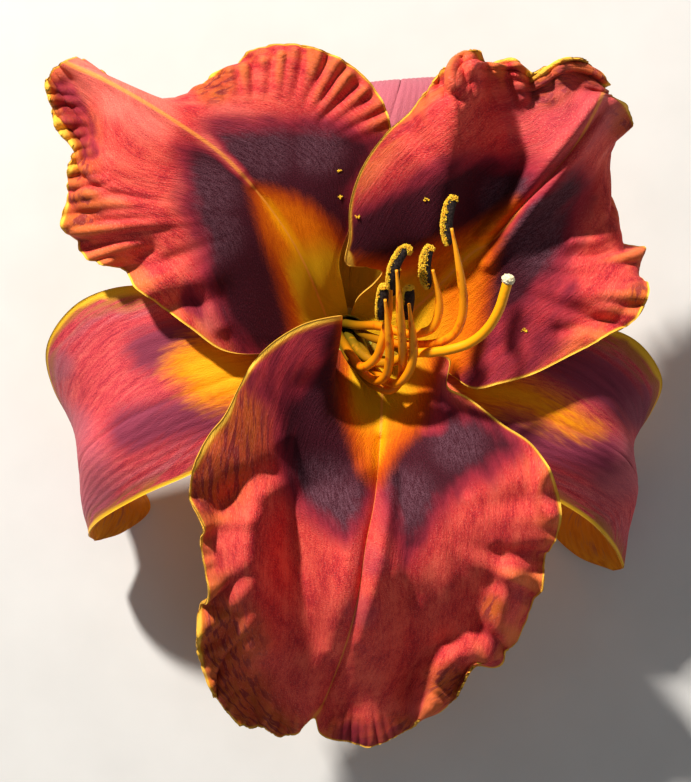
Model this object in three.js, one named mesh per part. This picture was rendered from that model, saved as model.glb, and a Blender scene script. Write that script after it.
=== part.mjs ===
// A daylily bloom, picked and laid face up: three broad ruffled petals over three rolled sepals on a short
// tube, six stamens and one pistil. Lengths are millimetres and +Z is up. The bloom's own frame has its axis
// on Z and the surface it rests on at z = 0. At the end the bloom is moved so that the bottom centre of its
// box is the origin.

import * as THREE from "three";

// Driving sizes
const PETAL_THICKNESS = 0.8;
const SEPAL_THICKNESS = 0.8;
const SEAT_GAP = 0.3;
const RIM_Z = 24;
const CLAW_Z = RIM_Z + SEAT_GAP + 0.3;
const PETAL_CLAW_RADIUS = 4;
const SEPAL_CLAW_RADIUS = 5.5;
const TUBE_BOTTOM_Z = 6;
const PEDICEL_BOTTOM_Z = 1;
const PEDICEL_RADIUS = 2.3;
const FILAMENT_RADIUS = 0.9;
const FILAMENT_INSERT_RADIUS = 2.2;
const FILAMENT_INSERT_Z = 21.5;
const FILAMENT_MOUTH_Z = 25.5;
const STYLE_RADIUS = 0.9;
const STIGMA_RADIUS = 1.15;
const ANTHER_HALF_WIDTH = 1.15;
const ANTHER_HALF_DEPTH = 0.8;
const PETAL_CELLS = [46, 18];
const SEPAL_CELLS = [26, 8];

// Colours
const MAROON_RED = 0xb3343a;
const ROSE_RED = 0xb04048;
const TUBE_GREEN = 0xb5b34a;
const STEM_GREEN = 0x6f8a3a;
const FILAMENT_ORANGE = 0xf08a1c;
const ANTHER_BLACK = 0x2a2024;
const STYLE_YELLOW = 0xf5b021;
const STIGMA_CREAM = 0xf3ead2;

const p = (x, y, z) => new THREE.Vector3(x, y, z);
const clamp01 = (x) => Math.min(1, Math.max(0, x));
const smooth = (x) => clamp01(x) ** 2 * (3 - 2 * clamp01(x));

// A tepal is a net of long lines from claw to tip. `at` is the line's place across the blade: 1 is the left
// margin as seen from the throat, 0 the rib, -1 the right margin. Each line starts on the claw's arc. The
// blade is narrower at its tip by the share `narrowing`. A fold stands up from it, or sinks into it, along a
// line of [x, y] places.
const PETALS = {
  petal_upper_left: {
    azimuth: 132,
    narrowing: 0.08,
    span: 86,
    ruffle: { left: [9, 1.7], right: [11, 0.5], from: 0.34 },
    folds: [
      { height: 2.0, width: 3.5, line: [[-40.4, 6], [-33.6, 8.8], [-28, 11.2]] },
      { height: -3.4, width: 3.0, line: [[-55.6, 49.6], [-52.8, 44], [-51.6, 36.4]] },
      { height: 1.2, width: 2.4, line: [[-56.4, 20.4], [-45.6, 22], [-34, 24]] },
      { height: -2.4, width: 2.4, line: [[-37.2, 4.8], [-32.8, 6.6], [-29.6, 6.4]] },
    ],
    lines: [
      {
        at: -1,
        through: [
          p(-1, 9.6, 31.5), p(-1.8, 14.6, 35), p(0.4, 21.4, 37.5), p(4.8, 30.8, 40), p(8.6, 40.8, 42),
          p(4, 50.5, 44),
          p(-5.2, 56.3, 45.5), p(-15.6, 57.4, 45), p(-26.6, 51.3, 42), p(-35.2, 44.6, 35),
          p(-44.6, 47.6, 32), p(-50.4, 52.4, 35),
        ],
      },
      {
        at: -0.5,
        through: [
          p(-4, 9.8, 32.5), p(-5.6, 18.4, 38), p(-7.2, 28.4, 42), p(-9.6, 38.4, 44), p(-17.2, 44.4, 45.5),
          p(-26.6, 46.2, 45.5), p(-36.6, 46, 44), p(-45.4, 49, 41.5), p(-54, 55.2, 38),
        ],
      },
      {
        at: 0,
        through: [
          p(-6.4, 9, 32), p(-9.6, 17, 37.5), p(-15.2, 25, 41.5), p(-23.2, 33.4, 45), p(-32.6, 41.6, 47.5),
          p(-41.6, 47, 47.5), p(-49, 50.8, 45), p(-56.8, 54.6, 40),
        ],
      },
      {
        at: 0.5,
        through: [
          p(-9, 4, 31), p(-15.2, 9.4, 36.5), p(-23.2, 15.4, 42), p(-31.5, 21.3, 45.5),
          p(-40.5, 28.3, 47), p(-47.9, 36.3, 46.4), p(-53.6, 44.4, 41), p(-59.2, 53.2, 38.5),
        ],
      },
      {
        at: 1,
        through: [
          p(-8.6, -2.6, 30), p(-17.2, -4.2, 34.5), p(-25.3, -3.6, 38), p(-31.8, 0.9, 39), p(-39.9, 6.9, 39.5),
          p(-47.4, 13.3, 39), p(-53.8, 15.9, 38), p(-56.7, 20.9, 38.5), p(-57.1, 26.9, 40),
          p(-54.8, 34.4, 41), p(-59.6, 43.4, 38), p(-61.4, 50, 38.5),
        ],
      },
    ],
  },
  petal_upper_right: {
    azimuth: 40,
    narrowing: 0.22,
    span: 84,
    ruffle: { left: [9, 1.8], right: [8, 1.6], from: 0.4 },
    folds: [
      { height: 2.0, width: 4.0, line: [[18, 19.4], [18.8, 28.4], [20.4, 38.4], [22, 47.4], [22.8, 52.4]] },
      { height: -3.0, width: 4.0, line: [[31.2, 48.8], [32.8, 40.8], [34, 34.4], [29.6, 27.2]] },
      { height: -1.6, width: 4.5, line: [[42.4, 25.4], [50, 36.4]] },
      { height: 1.5, width: 2.4, line: [[45.2, 8], [52.8, 8.4], [59.4, 8]] },
    ],
    lines: [
      {
        at: -1,
        through: [
          p(10, -2.4, 30.5), p(16, -5, 34.5), p(21.6, -9, 38), p(25.4, -11.4, 41), p(30.4, -10.4, 42),
          p(36.8, -8.6, 42), p(43.4, -5.4, 41), p(51.3, -1.2, 41), p(58.4, 3.3, 40.5), p(60.5, 9.2, 38),
          p(59.1, 14.4, 32), p(56.2, 18.9, 28.5), p(53, 25.6, 27.5), p(51.2, 31.6, 28), p(51.7, 36.5, 30.5),
        ],
      },
      {
        at: -0.5,
        through: [
          p(9.6, 1.4, 31), p(18.4, 2.8, 37), p(30.4, 8.4, 41.5), p(40.5, 16.5, 39.5), p(48.7, 26.6, 34.5),
          p(52.3, 36.7, 35), p(57, 42.4, 33),
        ],
      },
      {
        at: -0.25,
        through: [
          p(10, 3.2, 32), p(18.4, 6.6, 37.4), p(29.4, 13.6, 42), p(39, 22.4, 42.6), p(46.6, 32, 41.5),
          p(51.4, 40.6, 41), p(56.6, 45.8, 36),
        ],
      },
      {
        at: 0,
        through: [
          p(10.2, 5, 32.5), p(18.4, 10.4, 37.5), p(28.4, 18.6, 42), p(37.4, 28.4, 45.5), p(44.6, 37.6, 48.5),
          p(49.8, 44.8, 47.5), p(53.8, 47, 40),
        ],
      },
      {
        at: 0.33,
        through: [
          p(7.6, 6.6, 32), p(14.6, 12.6, 37), p(22, 19.4, 40.5), p(28, 26.6, 42.5), p(32, 34.2, 44.5),
          p(34.4, 41, 45.5), p(39, 46, 46), p(45.8, 48.4, 43.5), p(52.6, 47.8, 38.6),
        ],
      },
      {
        at: 0.66,
        through: [
          p(5, 7.6, 31.5), p(11.2, 12, 38), p(16.8, 17.4, 44.5), p(18.8, 25.4, 50), p(20.2, 34.4, 54.5),
          p(21.4, 43, 57), p(23.4, 50, 56), p(30, 51, 50.5), p(36.4, 49, 47.5), p(43.4, 52, 46),
          p(48.6, 51, 42.5), p(51.6, 48.2, 38.2),
        ],
      },
      {
        at: 1,
        through: [
          p(2, 7.2, 30.5), p(5.4, 10.2, 36.5), p(6.8, 12.4, 41), p(4, 13, 44.5), p(-0.4, 13.6, 46.5),
          p(0.2, 18.8, 49), p(0.4, 25.4, 51.5), p(2.8, 32.4, 54), p(7.2, 38.8, 55), p(13.2, 44.4, 55.5),
          p(16.6, 48.6, 55.5), p(18.8, 52.2, 55.5), p(23, 54.6, 53.5), p(28, 53.2, 51), p(33, 54.2, 49.5),
          p(36, 51.4, 47.5), p(40.4, 53.4, 46.5), p(45.6, 55.2, 46), p(50.6, 52.4, 41), p(50.6, 48.8, 38),
        ],
      },
    ],
  },
  petal_lower: {
    azimuth: 265,
    narrowing: 0.03,
    notch: 0.047,
    span: 86,
    ruffle: { left: [9, 1.8], right: [10, 1.6], from: 0.4 },
    folds: [
      {
        height: -5.6,
        width: 5.0,
        line: [[-12.4, -34.8], [-10.6, -44.8], [-7.6, -54.4], [-3.2, -65.6], [-2, -73.6]],
      },
      { height: 5.8, width: 4.0, line: [[-16.8, -33.2], [-19.4, -41.6], [-19.6, -51.6], [-17.6, -62.6]] },
      { height: -2.6, width: 3.0, line: [[-26.8, -37.2], [-22, -31.6], [-15.6, -28.4]] },
      { height: -2.0, width: 4.2, line: [[-8.4, -12], [-8.8, -17.6], [-8, -23.6], [-6.4, -29.6]] },
      { height: -2.4, width: 3.8, line: [[12, -53.6], [13.2, -59.6], [11.6, -68]] },
      { height: 4.5, width: 2.8, line: [[28.8, -64.8], [30.2, -56.8], [32.8, -49.2]] },
      { height: -2.0, width: 2.6, line: [[34.8, -61.6], [36.4, -54.4], [38, -46.8]] },
      { height: 4.6, width: 3.0, line: [[16, -74.4], [17.2, -69.6], [20.8, -65.6], [24.4, -63.6]] },
    ],
    lines: [
      {
        at: -1,
        through: [
          p(-6, -2.6, 31), p(-5.2, 1.4, 40), p(-1.4, 3.2, 50), p(-9, 1.4, 52.5), p(-16.6, -3.6, 51.5),
          p(-21, -9.6, 48.5), p(-24.6, -16.6, 48), p(-30.2, -24.6, 48), p(-31.5, -31.5, 46),
          p(-29.5, -40.5, 43.5), p(-28.6, -51.7, 39.5), p(-31, -62.2, 31), p(-27.9, -73.8, 22),
          p(-23.5, -80.1, 17.5),
        ],
      },
      {
        at: -0.5,
        through: [
          p(-2.6, -8.6, 31), p(-2.6, -13.6, 40), p(-5.2, -19.6, 45), p(-9.6, -27.6, 42.5),
          p(-12.6, -39.6, 38.5), p(-13.7, -51.8, 35.5), p(-14.7, -64, 26.5), p(-16.2, -74.8, 18.5),
          p(-12.8, -83.4, 12.5),
        ],
      },
      {
        at: 0,
        through: [
          p(2.9, -12.7, 31.5), p(5.8, -21.6, 38), p(5.6, -31.6, 42.5), p(3.6, -42.6, 44.5),
          p(1.6, -53.6, 42), p(-1.2, -63.9, 34), p(-4.6, -73.2, 24.5), p(-8.4, -82.4, 14.8),
        ],
      },
      {
        at: 0.5,
        through: [
          p(6.4, -8.4, 31), p(11.4, -12.4, 35.5), p(15.4, -17, 40), p(19.4, -24.6, 43.5),
          p(21.4, -35.6, 45.5), p(20.4, -47.7, 43), p(16.5, -60, 34.5), p(10.5, -72.8, 24), p(4.9, -85.2, 14),
        ],
      },
      {
        at: 1,
        through: [
          p(6.6, -4.6, 30), p(12, -4.8, 35.5), p(16.6, -4.6, 40), p(20.4, -5.4, 42), p(20, -10.8, 41.5),
          p(24, -13, 41.5), p(31, -18.4, 43.5), p(37, -22.6, 46), p(41.2, -29.6, 46), p(42.5, -36.7, 45),
          p(40, -46.2, 40.5), p(37.7, -55.3, 35), p(32.7, -64, 30), p(26.2, -68.9, 29),
          p(22.6, -73.4, 28), p(18.8, -77.4, 25),
        ],
      },
    ],
  },
};

const SEPALS = {
  sepal_left: {
    azimuth: 207,
    span: 84,
    lines: [
      {
        at: -1,
        through: [
          p(-9.6, 1.2, 27), p(-19.6, 3.4, 30), p(-31.6, 7, 31), p(-43.6, 9.6, 32.5),
          p(-54.4, 6.4, 32), p(-61.2, -1.8, 27), p(-60.8, -11, 17.5), p(-55, -21, 7),
          p(-46.6, -29, -0.6), p(-41.6, -36.2, 1.5), p(-47, -41.2, 6), p(-51, -42.6, 9.2),
        ],
      },
      {
        at: 0,
        through: [
          p(-10.6, -4, 28), p(-20.6, -8, 32.5), p(-32.6, -12.6, 35.5), p(-44.4, -17.6, 35),
          p(-53.4, -24.4, 30), p(-54.6, -30.8, 22), p(-52.6, -38, 14), p(-52, -42.8, 10),
        ],
      },
      {
        at: 1,
        through: [
          p(-7.4, -8.6, 28), p(-12.4, -15.6, 32), p(-20.6, -22.6, 34), p(-31.6, -28.6, 35),
          p(-41.6, -33, 33), p(-50.6, -38.2, 26), p(-53.4, -41.4, 18), p(-52.8, -42.8, 11),
        ],
      },
    ],
  },
  sepal_right: {
    azimuth: 330,
    span: 84,
    lines: [
      {
        at: -1,
        through: [
          p(5.4, -10, 28), p(10.5, -17.6, 31), p(20.4, -24.6, 32), p(31.4, -29.6, 33), p(41.4, -33.6, 32),
          p(49.4, -38.6, 28), p(54.6, -44, 21), p(57.2, -48.4, 12),
        ],
      },
      {
        at: 0,
        through: [
          p(10.4, -4.6, 28), p(20.4, -9.2, 32.5), p(32.4, -14, 35), p(44.8, -19.2, 35), p(55.6, -24.8, 31),
          p(59.2, -31, 22.5), p(57.2, -40, 14), p(57, -48.8, 10.6),
        ],
      },
      {
        at: 1,
        through: [
          p(10.7, 0.8, 28), p(20.5, 1.4, 31.5), p(34.4, 2, 33.5), p(47.4, 2, 34), p(58, -1.2, 32),
          p(64, -8.8, 26.5), p(62.6, -16, 17), p(57, -24, 7.2), p(48.4, -31.6, -0.6),
          p(42.6, -39.6, 0.5), p(47.6, -46, 5), p(55.4, -49.2, 9.4),
        ],
      },
    ],
  },
  sepal_top: {
    azimuth: 88,
    span: 84,
    lines: [
      {
        at: -1,
        through: [
          p(6, 7.4, 27), p(10.9, 13.4, 30), p(16.4, 24.4, 32), p(20.4, 36.4, 33), p(21.4, 48, 30.5),
          p(19.4, 52.6, 22), p(16.4, 49.4, 12), p(12.8, 43, 3), p(11, 38, -0.6),
        ],
      },
      {
        at: 0,
        through: [
          p(0.2, 10.4, 27.5), p(1.4, 20.4, 31.5), p(4.4, 31.4, 34.5), p(8, 41.8, 34.5), p(10.4, 49.8, 30),
          p(10.8, 51.8, 22), p(10.4, 48.4, 11), p(10, 42.6, 2), p(10, 37.4, -0.6),
        ],
      },
      {
        at: 1,
        through: [
          p(-5.4, 7.4, 27), p(-8.6, 14, 30), p(-8, 25.4, 32), p(-4.6, 36.8, 33), p(-0.6, 46.6, 30),
          p(2.4, 51.2, 22), p(4.8, 48.6, 12), p(7.6, 43, 3), p(9, 38, -0.6),
        ],
      },
    ],
  },
};

// Stamens: the points that a filament passes, from the tube's mouth to its tip, and the line of its anther,
// from the lower end to the upper one.
const STAMENS = [
  {
    insert: 235,
    filament: [
      p(0.2, -4.9, 32.5), p(1.8, -6.8, 38.5), p(5.2, -9.6, 42.5), p(7.4, -9, 46.5), p(8.2, -6, 50),
      p(8.2, -2.1, 53), p(7.8, 2.2, 56), p(7.3, 6.2, 58.5),
    ],
    anther: [p(6.6, 2.2, 54), p(6.8, 6.1, 56.7), p(7.2, 9.3, 58)],
  },
  {
    insert: 290,
    filament: [
      p(1.6, -4.1, 30.5), p(2.8, -8.2, 35.5), p(5.6, -10.8, 39), p(8.6, -11.6, 41), p(10.5, -9.6, 43.3),
      p(10.9, -6, 49.3), p(10.7, -1.7, 54.5), p(10.3, 2.6, 58), p(10, 6.5, 60.5), p(9.5, 11.9, 62.8),
    ],
    anther: [p(8.5, 8.1, 59), p(8.9, 11.6, 61), p(9.8, 14.1, 61.5), p(11.2, 15.8, 61.6), p(12.6, 15.8, 61.4)],
  },
  {
    insert: 345,
    filament: [
      p(2.7, -2, 29), p(4.5, -6.3, 35), p(7.6, -9.6, 42.5), p(10, -10.2, 46.5), p(12.1, -8, 49.8),
      p(13, -4.1, 52.5), p(12.6, 0.6, 55.5), p(12, 5.4, 58),
    ],
    anther: [p(11.4, 2.3, 53.9), p(12, 6.2, 56.4), p(12.1, 9, 57.4)],
  },
  {
    insert: 110,
    filament: [
      p(2, 1.5, 34), p(6.4, 1.2, 42), p(11.4, -0.3, 47.5), p(14.3, -0.3, 50), p(16.7, 0.7, 51.5),
      p(17.9, 3.5, 53), p(18, 6.4, 54.5), p(17.4, 9.3, 56), p(16.7, 12.1, 57.2),
    ],
    anther: [p(15.9, 8.3, 55.6), p(15.2, 11.7, 56), p(15.5, 14.8, 56.2), p(16.4, 17, 56)],
  },
  {
    insert: 50,
    filament: [
      p(2.8, -0, 33), p(7.4, -1.8, 42), p(13.4, -2.6, 47.5), p(18.3, -2.1, 50.5), p(21.2, -0.3, 52.5),
      p(22.5, 2.6, 54.5), p(22.8, 6.2, 56.5), p(22.3, 10, 58.5), p(21.5, 14.3, 60.3), p(20.3, 20.1, 62),
    ],
    anther: [p(19.8, 16.7, 60), p(19.4, 20.8, 60.5), p(19.9, 24.1, 60.7), p(20.9, 26.6, 60.5)],
  },
  {
    insert: 170,
    filament: [
      p(-0.8, -2.1, 33.5), p(0.8, -4.8, 40), p(3, -7, 44.5), p(5.6, -5.2, 48), p(6.9, -1.7, 51),
      p(7.9, 2.7, 53.5), p(8.4, 6.2, 55.5), p(8.5, 8.7, 56.9),
    ],
    anther: [p(8.6, 7, 53.8), p(8.9, 9.9, 55.2), p(9.5, 12.7, 55.7)],
  },
];

const OVARY = { radius: 2, bottom: 9.2, top: 17 };
const STYLE_PATH = [
  p(0, 0, 17), p(0, -0.1, 23),
  p(0.8, -1.6, 31.5), p(2.4, -3.9, 36), p(5, -5.8, 40), p(8, -6.2, 43), p(10.8, -5.2, 46),
  p(12.9, -4.3, 48.5), p(16.7, -4.1, 51.5), p(20.2, -3.6, 54), p(24.1, -2.3, 56), p(27.4, 0.4, 58.5),
  p(29.6, 4.1, 61), p(30.8, 8, 62.8), p(31.2, 9.5, 63.4),
];

// A line walked evenly: returns the point at share u of its length.
function walked(points) {
  const curve = new THREE.CatmullRomCurve3(points, false, "centripetal");
  curve.arcLengthDivisions = 300;
  return (u) => curve.getPointAt(clamp01(u));
}

function onArc(radius, degrees, z) {
  const a = THREE.MathUtils.degToRad(degrees);
  return p(radius * Math.cos(a), radius * Math.sin(a), z);
}

// The smooth surface through a tepal's long lines, as a function of u, from claw to tip, and v, across.
function surfaceOf({ azimuth, span, lines }, clawRadius) {
  const walks = lines.map(({ at, through }) =>
    walked([onArc(clawRadius, azimuth + (at * span) / 2, CLAW_Z), ...through]),
  );
  const places = lines.map((line) => line.at);
  return (u, v) => {
    const row = walks.map((walk) => walk(u));
    const last = places.length - 1;
    const i = Math.min(last - 1, Math.max(0, places.findIndex((at) => v <= at) - 1));
    const t = (v - places[i]) / (places[i + 1] - places[i]);
    return hermite(row, places, i, t);
  };
}

function slopeAt(row, places, i) {
  const before = Math.max(0, i - 1);
  const after = Math.min(places.length - 1, i + 1);
  return row[after].clone().sub(row[before]).divideScalar(places[after] - places[before]);
}

function hermite(row, places, i, t) {
  const width = places[i + 1] - places[i];
  return row[i].clone().multiplyScalar(2 * t ** 3 - 3 * t ** 2 + 1)
    .addScaledVector(slopeAt(row, places, i), width * (t ** 3 - 2 * t ** 2 + t))
    .addScaledVector(row[i + 1], 3 * t ** 2 - 2 * t ** 3)
    .addScaledVector(slopeAt(row, places, i + 1), width * (t ** 3 - t ** 2));
}

// How far a ruffled margin stands off the blade at (u, v). The waves fan out from a third of the way up the
// rib to the margin, where they are deepest, and fade towards the tip of the rib.
const FAN_CENTRE = 0.3;
const TIP_SHARE = 0.3;
const NARROWING_FROM = 0.82;
// From where a notched tip draws back, and half the notch's width, in shares of the petal.
const NOTCH_FROM = 0.7;
const NOTCH_HALF_WIDTH = 0.075;
function ruffleAt({ left, right, from }, u, v) {
  const reach = (u - FAN_CENTRE) / (1 - FAN_CENTRE);
  const side = Math.abs(v);
  const rim = Math.max(reach, side);
  let along = u;
  if (reach > side) along = 1 + TIP_SHARE * (1 - side / reach);
  else if (reach > 0) along = FAN_CENTRE + (1 - FAN_CENTRE) * (reach / side);
  const [waves, depth] = v > 0 ? left : right;
  const start = smooth((along - from) / 0.25);
  const end = smooth((1 + TIP_SHARE - along) / 0.35);
  const turns = 2 * Math.PI * waves * along;
  const wave = Math.sin(turns) + 0.45 * Math.sin(1.62 * turns + 1.1);
  return depth * start * end * rim ** 5 * wave;
}

// How far the folds lift the blade above the place (x, y).
function foldAt(folds, { x, y }) {
  const here = p(x, y, 0);
  const nearest = p(0, 0, 0);
  const distanceTo = (line) => {
    const gaps = line.slice(1).map((end, i) => {
      const run = new THREE.Line3(p(...line[i], 0), p(...end, 0));
      return run.closestPointToPoint(here, true, nearest).distanceTo(here);
    });
    return Math.min(...gaps);
  };
  return folds.reduce(
    (lift, { height, width, line }) => lift + height * Math.exp(-((distanceTo(line) / width) ** 2)),
    0,
  );
}

// A closed thin blade on both sides of a surface. Both faces are split into triangles alike, and what would
// sink into the surface below lies flat on it.
function bladeGeometry(surface, [rows, columns], thickness) {
  const grid = [];
  for (let i = 0; i <= rows; i++)
    for (let j = 0; j <= columns; j++) grid.push(surface(i / rows, (2 * j) / columns - 1));
  const at = (i, j) => i * (columns + 1) + j;
  const faces = [];
  for (let i = 0; i < rows; i++)
    for (let j = 0; j < columns; j++) {
      const [a, b, c, d] = [at(i, j), at(i + 1, j), at(i + 1, j + 1), at(i, j + 1)];
      if (2 * j < columns) faces.push([a, b, c], [a, c, d]);
      else faces.push([a, b, d], [b, c, d]);
    }
  const normals = grid.map(() => p(0, 0, 0));
  for (const [a, b, c] of faces) {
    const turn = grid[b].clone().sub(grid[a]).cross(grid[c].clone().sub(grid[a]));
    for (const k of [a, b, c]) normals[k].add(turn);
  }
  const floorOf = (lift) => (point) => p(point.x, point.y, Math.max(point.z, lift));
  const offset = (sign, lift) =>
    grid.map((point, k) =>
      floorOf(lift)(point.clone().addScaledVector(normals[k].clone().normalize(), (sign * thickness) / 2)),
    );
  const isUp = normals.map((n) => n.z >= 0);
  const upper = offset(1, 0).map((q, k) => (isUp[k] ? p(q.x, q.y, Math.max(q.z, thickness)) : q));
  const lower = offset(-1, 0).map((q, k) => (isUp[k] ? q : p(q.x, q.y, Math.max(q.z, thickness))));
  const n = grid.length;
  const all = [...faces, ...faces.map(([a, b, c]) => [a + n, c + n, b + n])];
  const rim = [];
  for (let i = 0; i < rows; i++) rim.push(at(i, 0));
  for (let j = 0; j < columns; j++) rim.push(at(rows, j));
  for (let i = rows; i > 0; i--) rim.push(at(i, columns));
  for (let j = columns; j > 0; j--) rim.push(at(0, j));
  rim.forEach((a, k) => {
    const b = rim[(k + 1) % rim.length];
    all.push([a, a + n, b + n], [a, b + n, b]);
  });
  const geometry = new THREE.BufferGeometry();
  const positions = [...upper, ...lower].flatMap((q) => [q.x, q.y, q.z]);
  geometry.setAttribute("position", new THREE.Float32BufferAttribute(positions, 3));
  geometry.setIndex(all.flat());
  geometry.computeVertexNormals();
  return geometry;
}

// A rod along a curve, with its radius as a function of the share of its length. Its section is an ellipse
// whose flattened way starts out towards `up`.
function rodGeometry(points, radiusAt, steps, sides, flatten = 1, up = p(0.2, 0.3, 0.9)) {
  const curve = new THREE.CatmullRomCurve3(points, false, "centripetal");
  const positions = [];
  let across = curve.getTangentAt(0).cross(up);
  for (let i = 0; i <= steps; i++) {
    const centre = curve.getPointAt(i / steps);
    const ahead = curve.getTangentAt(i / steps);
    across = across.addScaledVector(ahead, -across.dot(ahead)).normalize();
    const over = across.clone().cross(ahead);
    const r = radiusAt(i / steps);
    for (let k = 0; k < sides; k++) {
      const a = (2 * Math.PI * k) / sides;
      const q = centre.clone().addScaledVector(across, r * Math.cos(a))
        .addScaledVector(over, flatten * r * Math.sin(a));
      positions.push(q.x, q.y, q.z);
    }
  }
  const ends = [curve.getPointAt(0), curve.getPointAt(1)];
  ends.forEach((q) => positions.push(q.x, q.y, q.z));
  const index = [];
  const ring = (i, k) => i * sides + (k % sides);
  const [tail, head] = [(steps + 1) * sides, (steps + 1) * sides + 1];
  for (let k = 0; k < sides; k++) {
    index.push(tail, ring(0, k), ring(0, k + 1));
    index.push(head, ring(steps, k + 1), ring(steps, k));
    for (let i = 0; i < steps; i++) {
      index.push(ring(i, k), ring(i + 1, k + 1), ring(i, k + 1));
      index.push(ring(i, k), ring(i + 1, k), ring(i + 1, k + 1));
    }
  }
  const geometry = new THREE.BufferGeometry();
  geometry.setAttribute("position", new THREE.Float32BufferAttribute(positions, 3));
  geometry.setIndex(index);
  geometry.computeVertexNormals();
  return geometry;
}

function named(name, geometry, color, roughness = 0.6) {
  const mesh = new THREE.Mesh(geometry, new THREE.MeshStandardMaterial({ color, roughness, metalness: 0 }));
  mesh.name = name;
  return mesh;
}

// The place along a petal of grid row u, drawn back in the middle of a notched tip.
function notchedAt(notch, u, v) {
  const share = clamp01((u - NOTCH_FROM) / (1 - NOTCH_FROM));
  return u - notch * share ** 2 * Math.exp(-((v / NOTCH_HALF_WIDTH) ** 2));
}

// Nought up to NARROWING_FROM and one at the tip, along a quarter of a circle.
function roundingAt(u) {
  const share = clamp01((u - NARROWING_FROM) / (1 - NARROWING_FROM));
  return 1 - Math.sqrt(1 - share ** 2);
}

function petals() {
  return Object.entries(PETALS).map(([name, tepal]) => {
    const smoothSurface = surfaceOf(tepal, PETAL_CLAW_RADIUS);
    const step = 0.004;
    const surface = (row, rim) => {
      const u = notchedAt(tepal.notch ?? 0, row, rim);
      const v = rim * (1 - tepal.narrowing * roundingAt(row));
      const here = smoothSurface(u, v);
      const [u0, u1] = [Math.max(0, u - step), Math.min(1, u + step)];
      const [v0, v1] = [Math.max(-1, v - step), Math.min(1, v + step)];
      const alongU = smoothSurface(u1, v).sub(smoothSurface(u0, v));
      const alongV = smoothSurface(u, v1).sub(smoothSurface(u, v0));
      const normal = alongU.cross(alongV).normalize();
      here.addScaledVector(normal, ruffleAt(tepal.ruffle, u, v));
      here.z += foldAt(tepal.folds, here);
      return here;
    };
    return named(name, bladeGeometry(surface, PETAL_CELLS, PETAL_THICKNESS), MAROON_RED);
  });
}

function sepals() {
  return Object.entries(SEPALS).map(([name, tepal]) =>
    named(name, bladeGeometry(surfaceOf(tepal, SEPAL_CLAW_RADIUS), SEPAL_CELLS, SEPAL_THICKNESS), ROSE_RED),
  );
}

// The tube in which all six tepals end, open at the top, with a seat for the ovary inside.
function tube() {
  const profile = [
    [0, TUBE_BOTTOM_Z], [2.6, TUBE_BOTTOM_Z], [3.7, 8], [4, 12], [4.3, 17], [4.9, 21], [6.1, RIM_Z],
    [3.5, RIM_Z], [3.4, 21], [3.3, 17], [3, 12], [2.6, 9], [0, OVARY.bottom - SEAT_GAP],
  ].map(([r, z]) => new THREE.Vector2(r, z));
  return named("perianth_tube", new THREE.LatheGeometry(profile, 24).rotateX(Math.PI / 2), TUBE_GREEN);
}

function pedicel() {
  const top = TUBE_BOTTOM_Z - SEAT_GAP;
  const profile = [
    [0, PEDICEL_BOTTOM_Z], [PEDICEL_RADIUS * 0.86, PEDICEL_BOTTOM_Z], [PEDICEL_RADIUS * 0.9, 3.4],
    [PEDICEL_RADIUS * 1.12, top], [0, top],
  ].map(([r, z]) => new THREE.Vector2(r, z));
  return named("pedicel", new THREE.LatheGeometry(profile, 16).rotateX(Math.PI / 2), STEM_GREEN);
}

function stamens() {
  return STAMENS.flatMap(({ insert, filament, anther }, i) => {
    const root = onArc(FILAMENT_INSERT_RADIUS, insert, FILAMENT_INSERT_Z);
    const mouth = onArc(FILAMENT_INSERT_RADIUS, insert, FILAMENT_MOUTH_Z);
    const taper = (t) => FILAMENT_RADIUS * (1 - 0.65 * smooth((t - 0.8) / 0.2));
    const bean = (t) => ANTHER_HALF_WIDTH * Math.sqrt(1.02 - (2 * t - 1) ** 4);
    const flatness = ANTHER_HALF_DEPTH / ANTHER_HALF_WIDTH;
    return [
      named(`filament_${i + 1}`, rodGeometry([root, mouth, ...filament], taper, 18, 7), FILAMENT_ORANGE),
      named(`anther_${i + 1}`, rodGeometry(anther, bean, 8, 8, flatness, p(0, 0, 1)), ANTHER_BLACK),
    ];
  });
}

function pistil() {
  const body = [
    p(0, 0, OVARY.bottom), p(0, 0, (OVARY.bottom + OVARY.top) / 2), ...STYLE_PATH,
  ];
  const swell = (t) => {
    const ovary = OVARY.radius * Math.sqrt(clamp01(1 - ((t - 0.05) / 0.075) ** 2));
    return Math.max(ovary, STYLE_RADIUS * (1 + 0.12 * t));
  };
  const tip = STYLE_PATH.at(-1);
  const ahead = tip.clone().sub(STYLE_PATH.at(-2)).normalize();
  const from = tip.clone().addScaledVector(ahead, SEAT_GAP);
  const head = [from, from.clone().addScaledVector(ahead, 0.9), from.clone().addScaledVector(ahead, 1.8)];
  const knob = (t) => STIGMA_RADIUS * (0.8 + 0.2 * Math.sin(Math.PI * t));
  return [
    named("pistil", rodGeometry(body, swell, 34, 8), STYLE_YELLOW),
    named("stigma", rodGeometry(head, knob, 4, 8), STIGMA_CREAM),
  ];
}

const bloom = new THREE.Group();
bloom.add(...petals(), ...sepals(), tube(), pedicel(), ...stamens(), ...pistil());

// The bottom centre of the bloom's box is the origin.
const box = new THREE.Box3().setFromObject(bloom);
const middle = box.getCenter(new THREE.Vector3());
bloom.position.set(-middle.x, -middle.y, -box.min.z);

const part = new THREE.Group();
part.add(bloom);
export default part;
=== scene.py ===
# A picked daylily bloom lying face up: three ruffled petals over three recurved sepals on a short tube, six
# stamens and one pistil. Points are millimetres in the bloom's own frame: its axis is on Z, the surface that
# it lies on is z = 0, and the tube's node says where that frame is in the room.

import math
import random

import bpy
import numpy as np
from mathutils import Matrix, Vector
from mathutils.bvhtree import BVHTree


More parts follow.
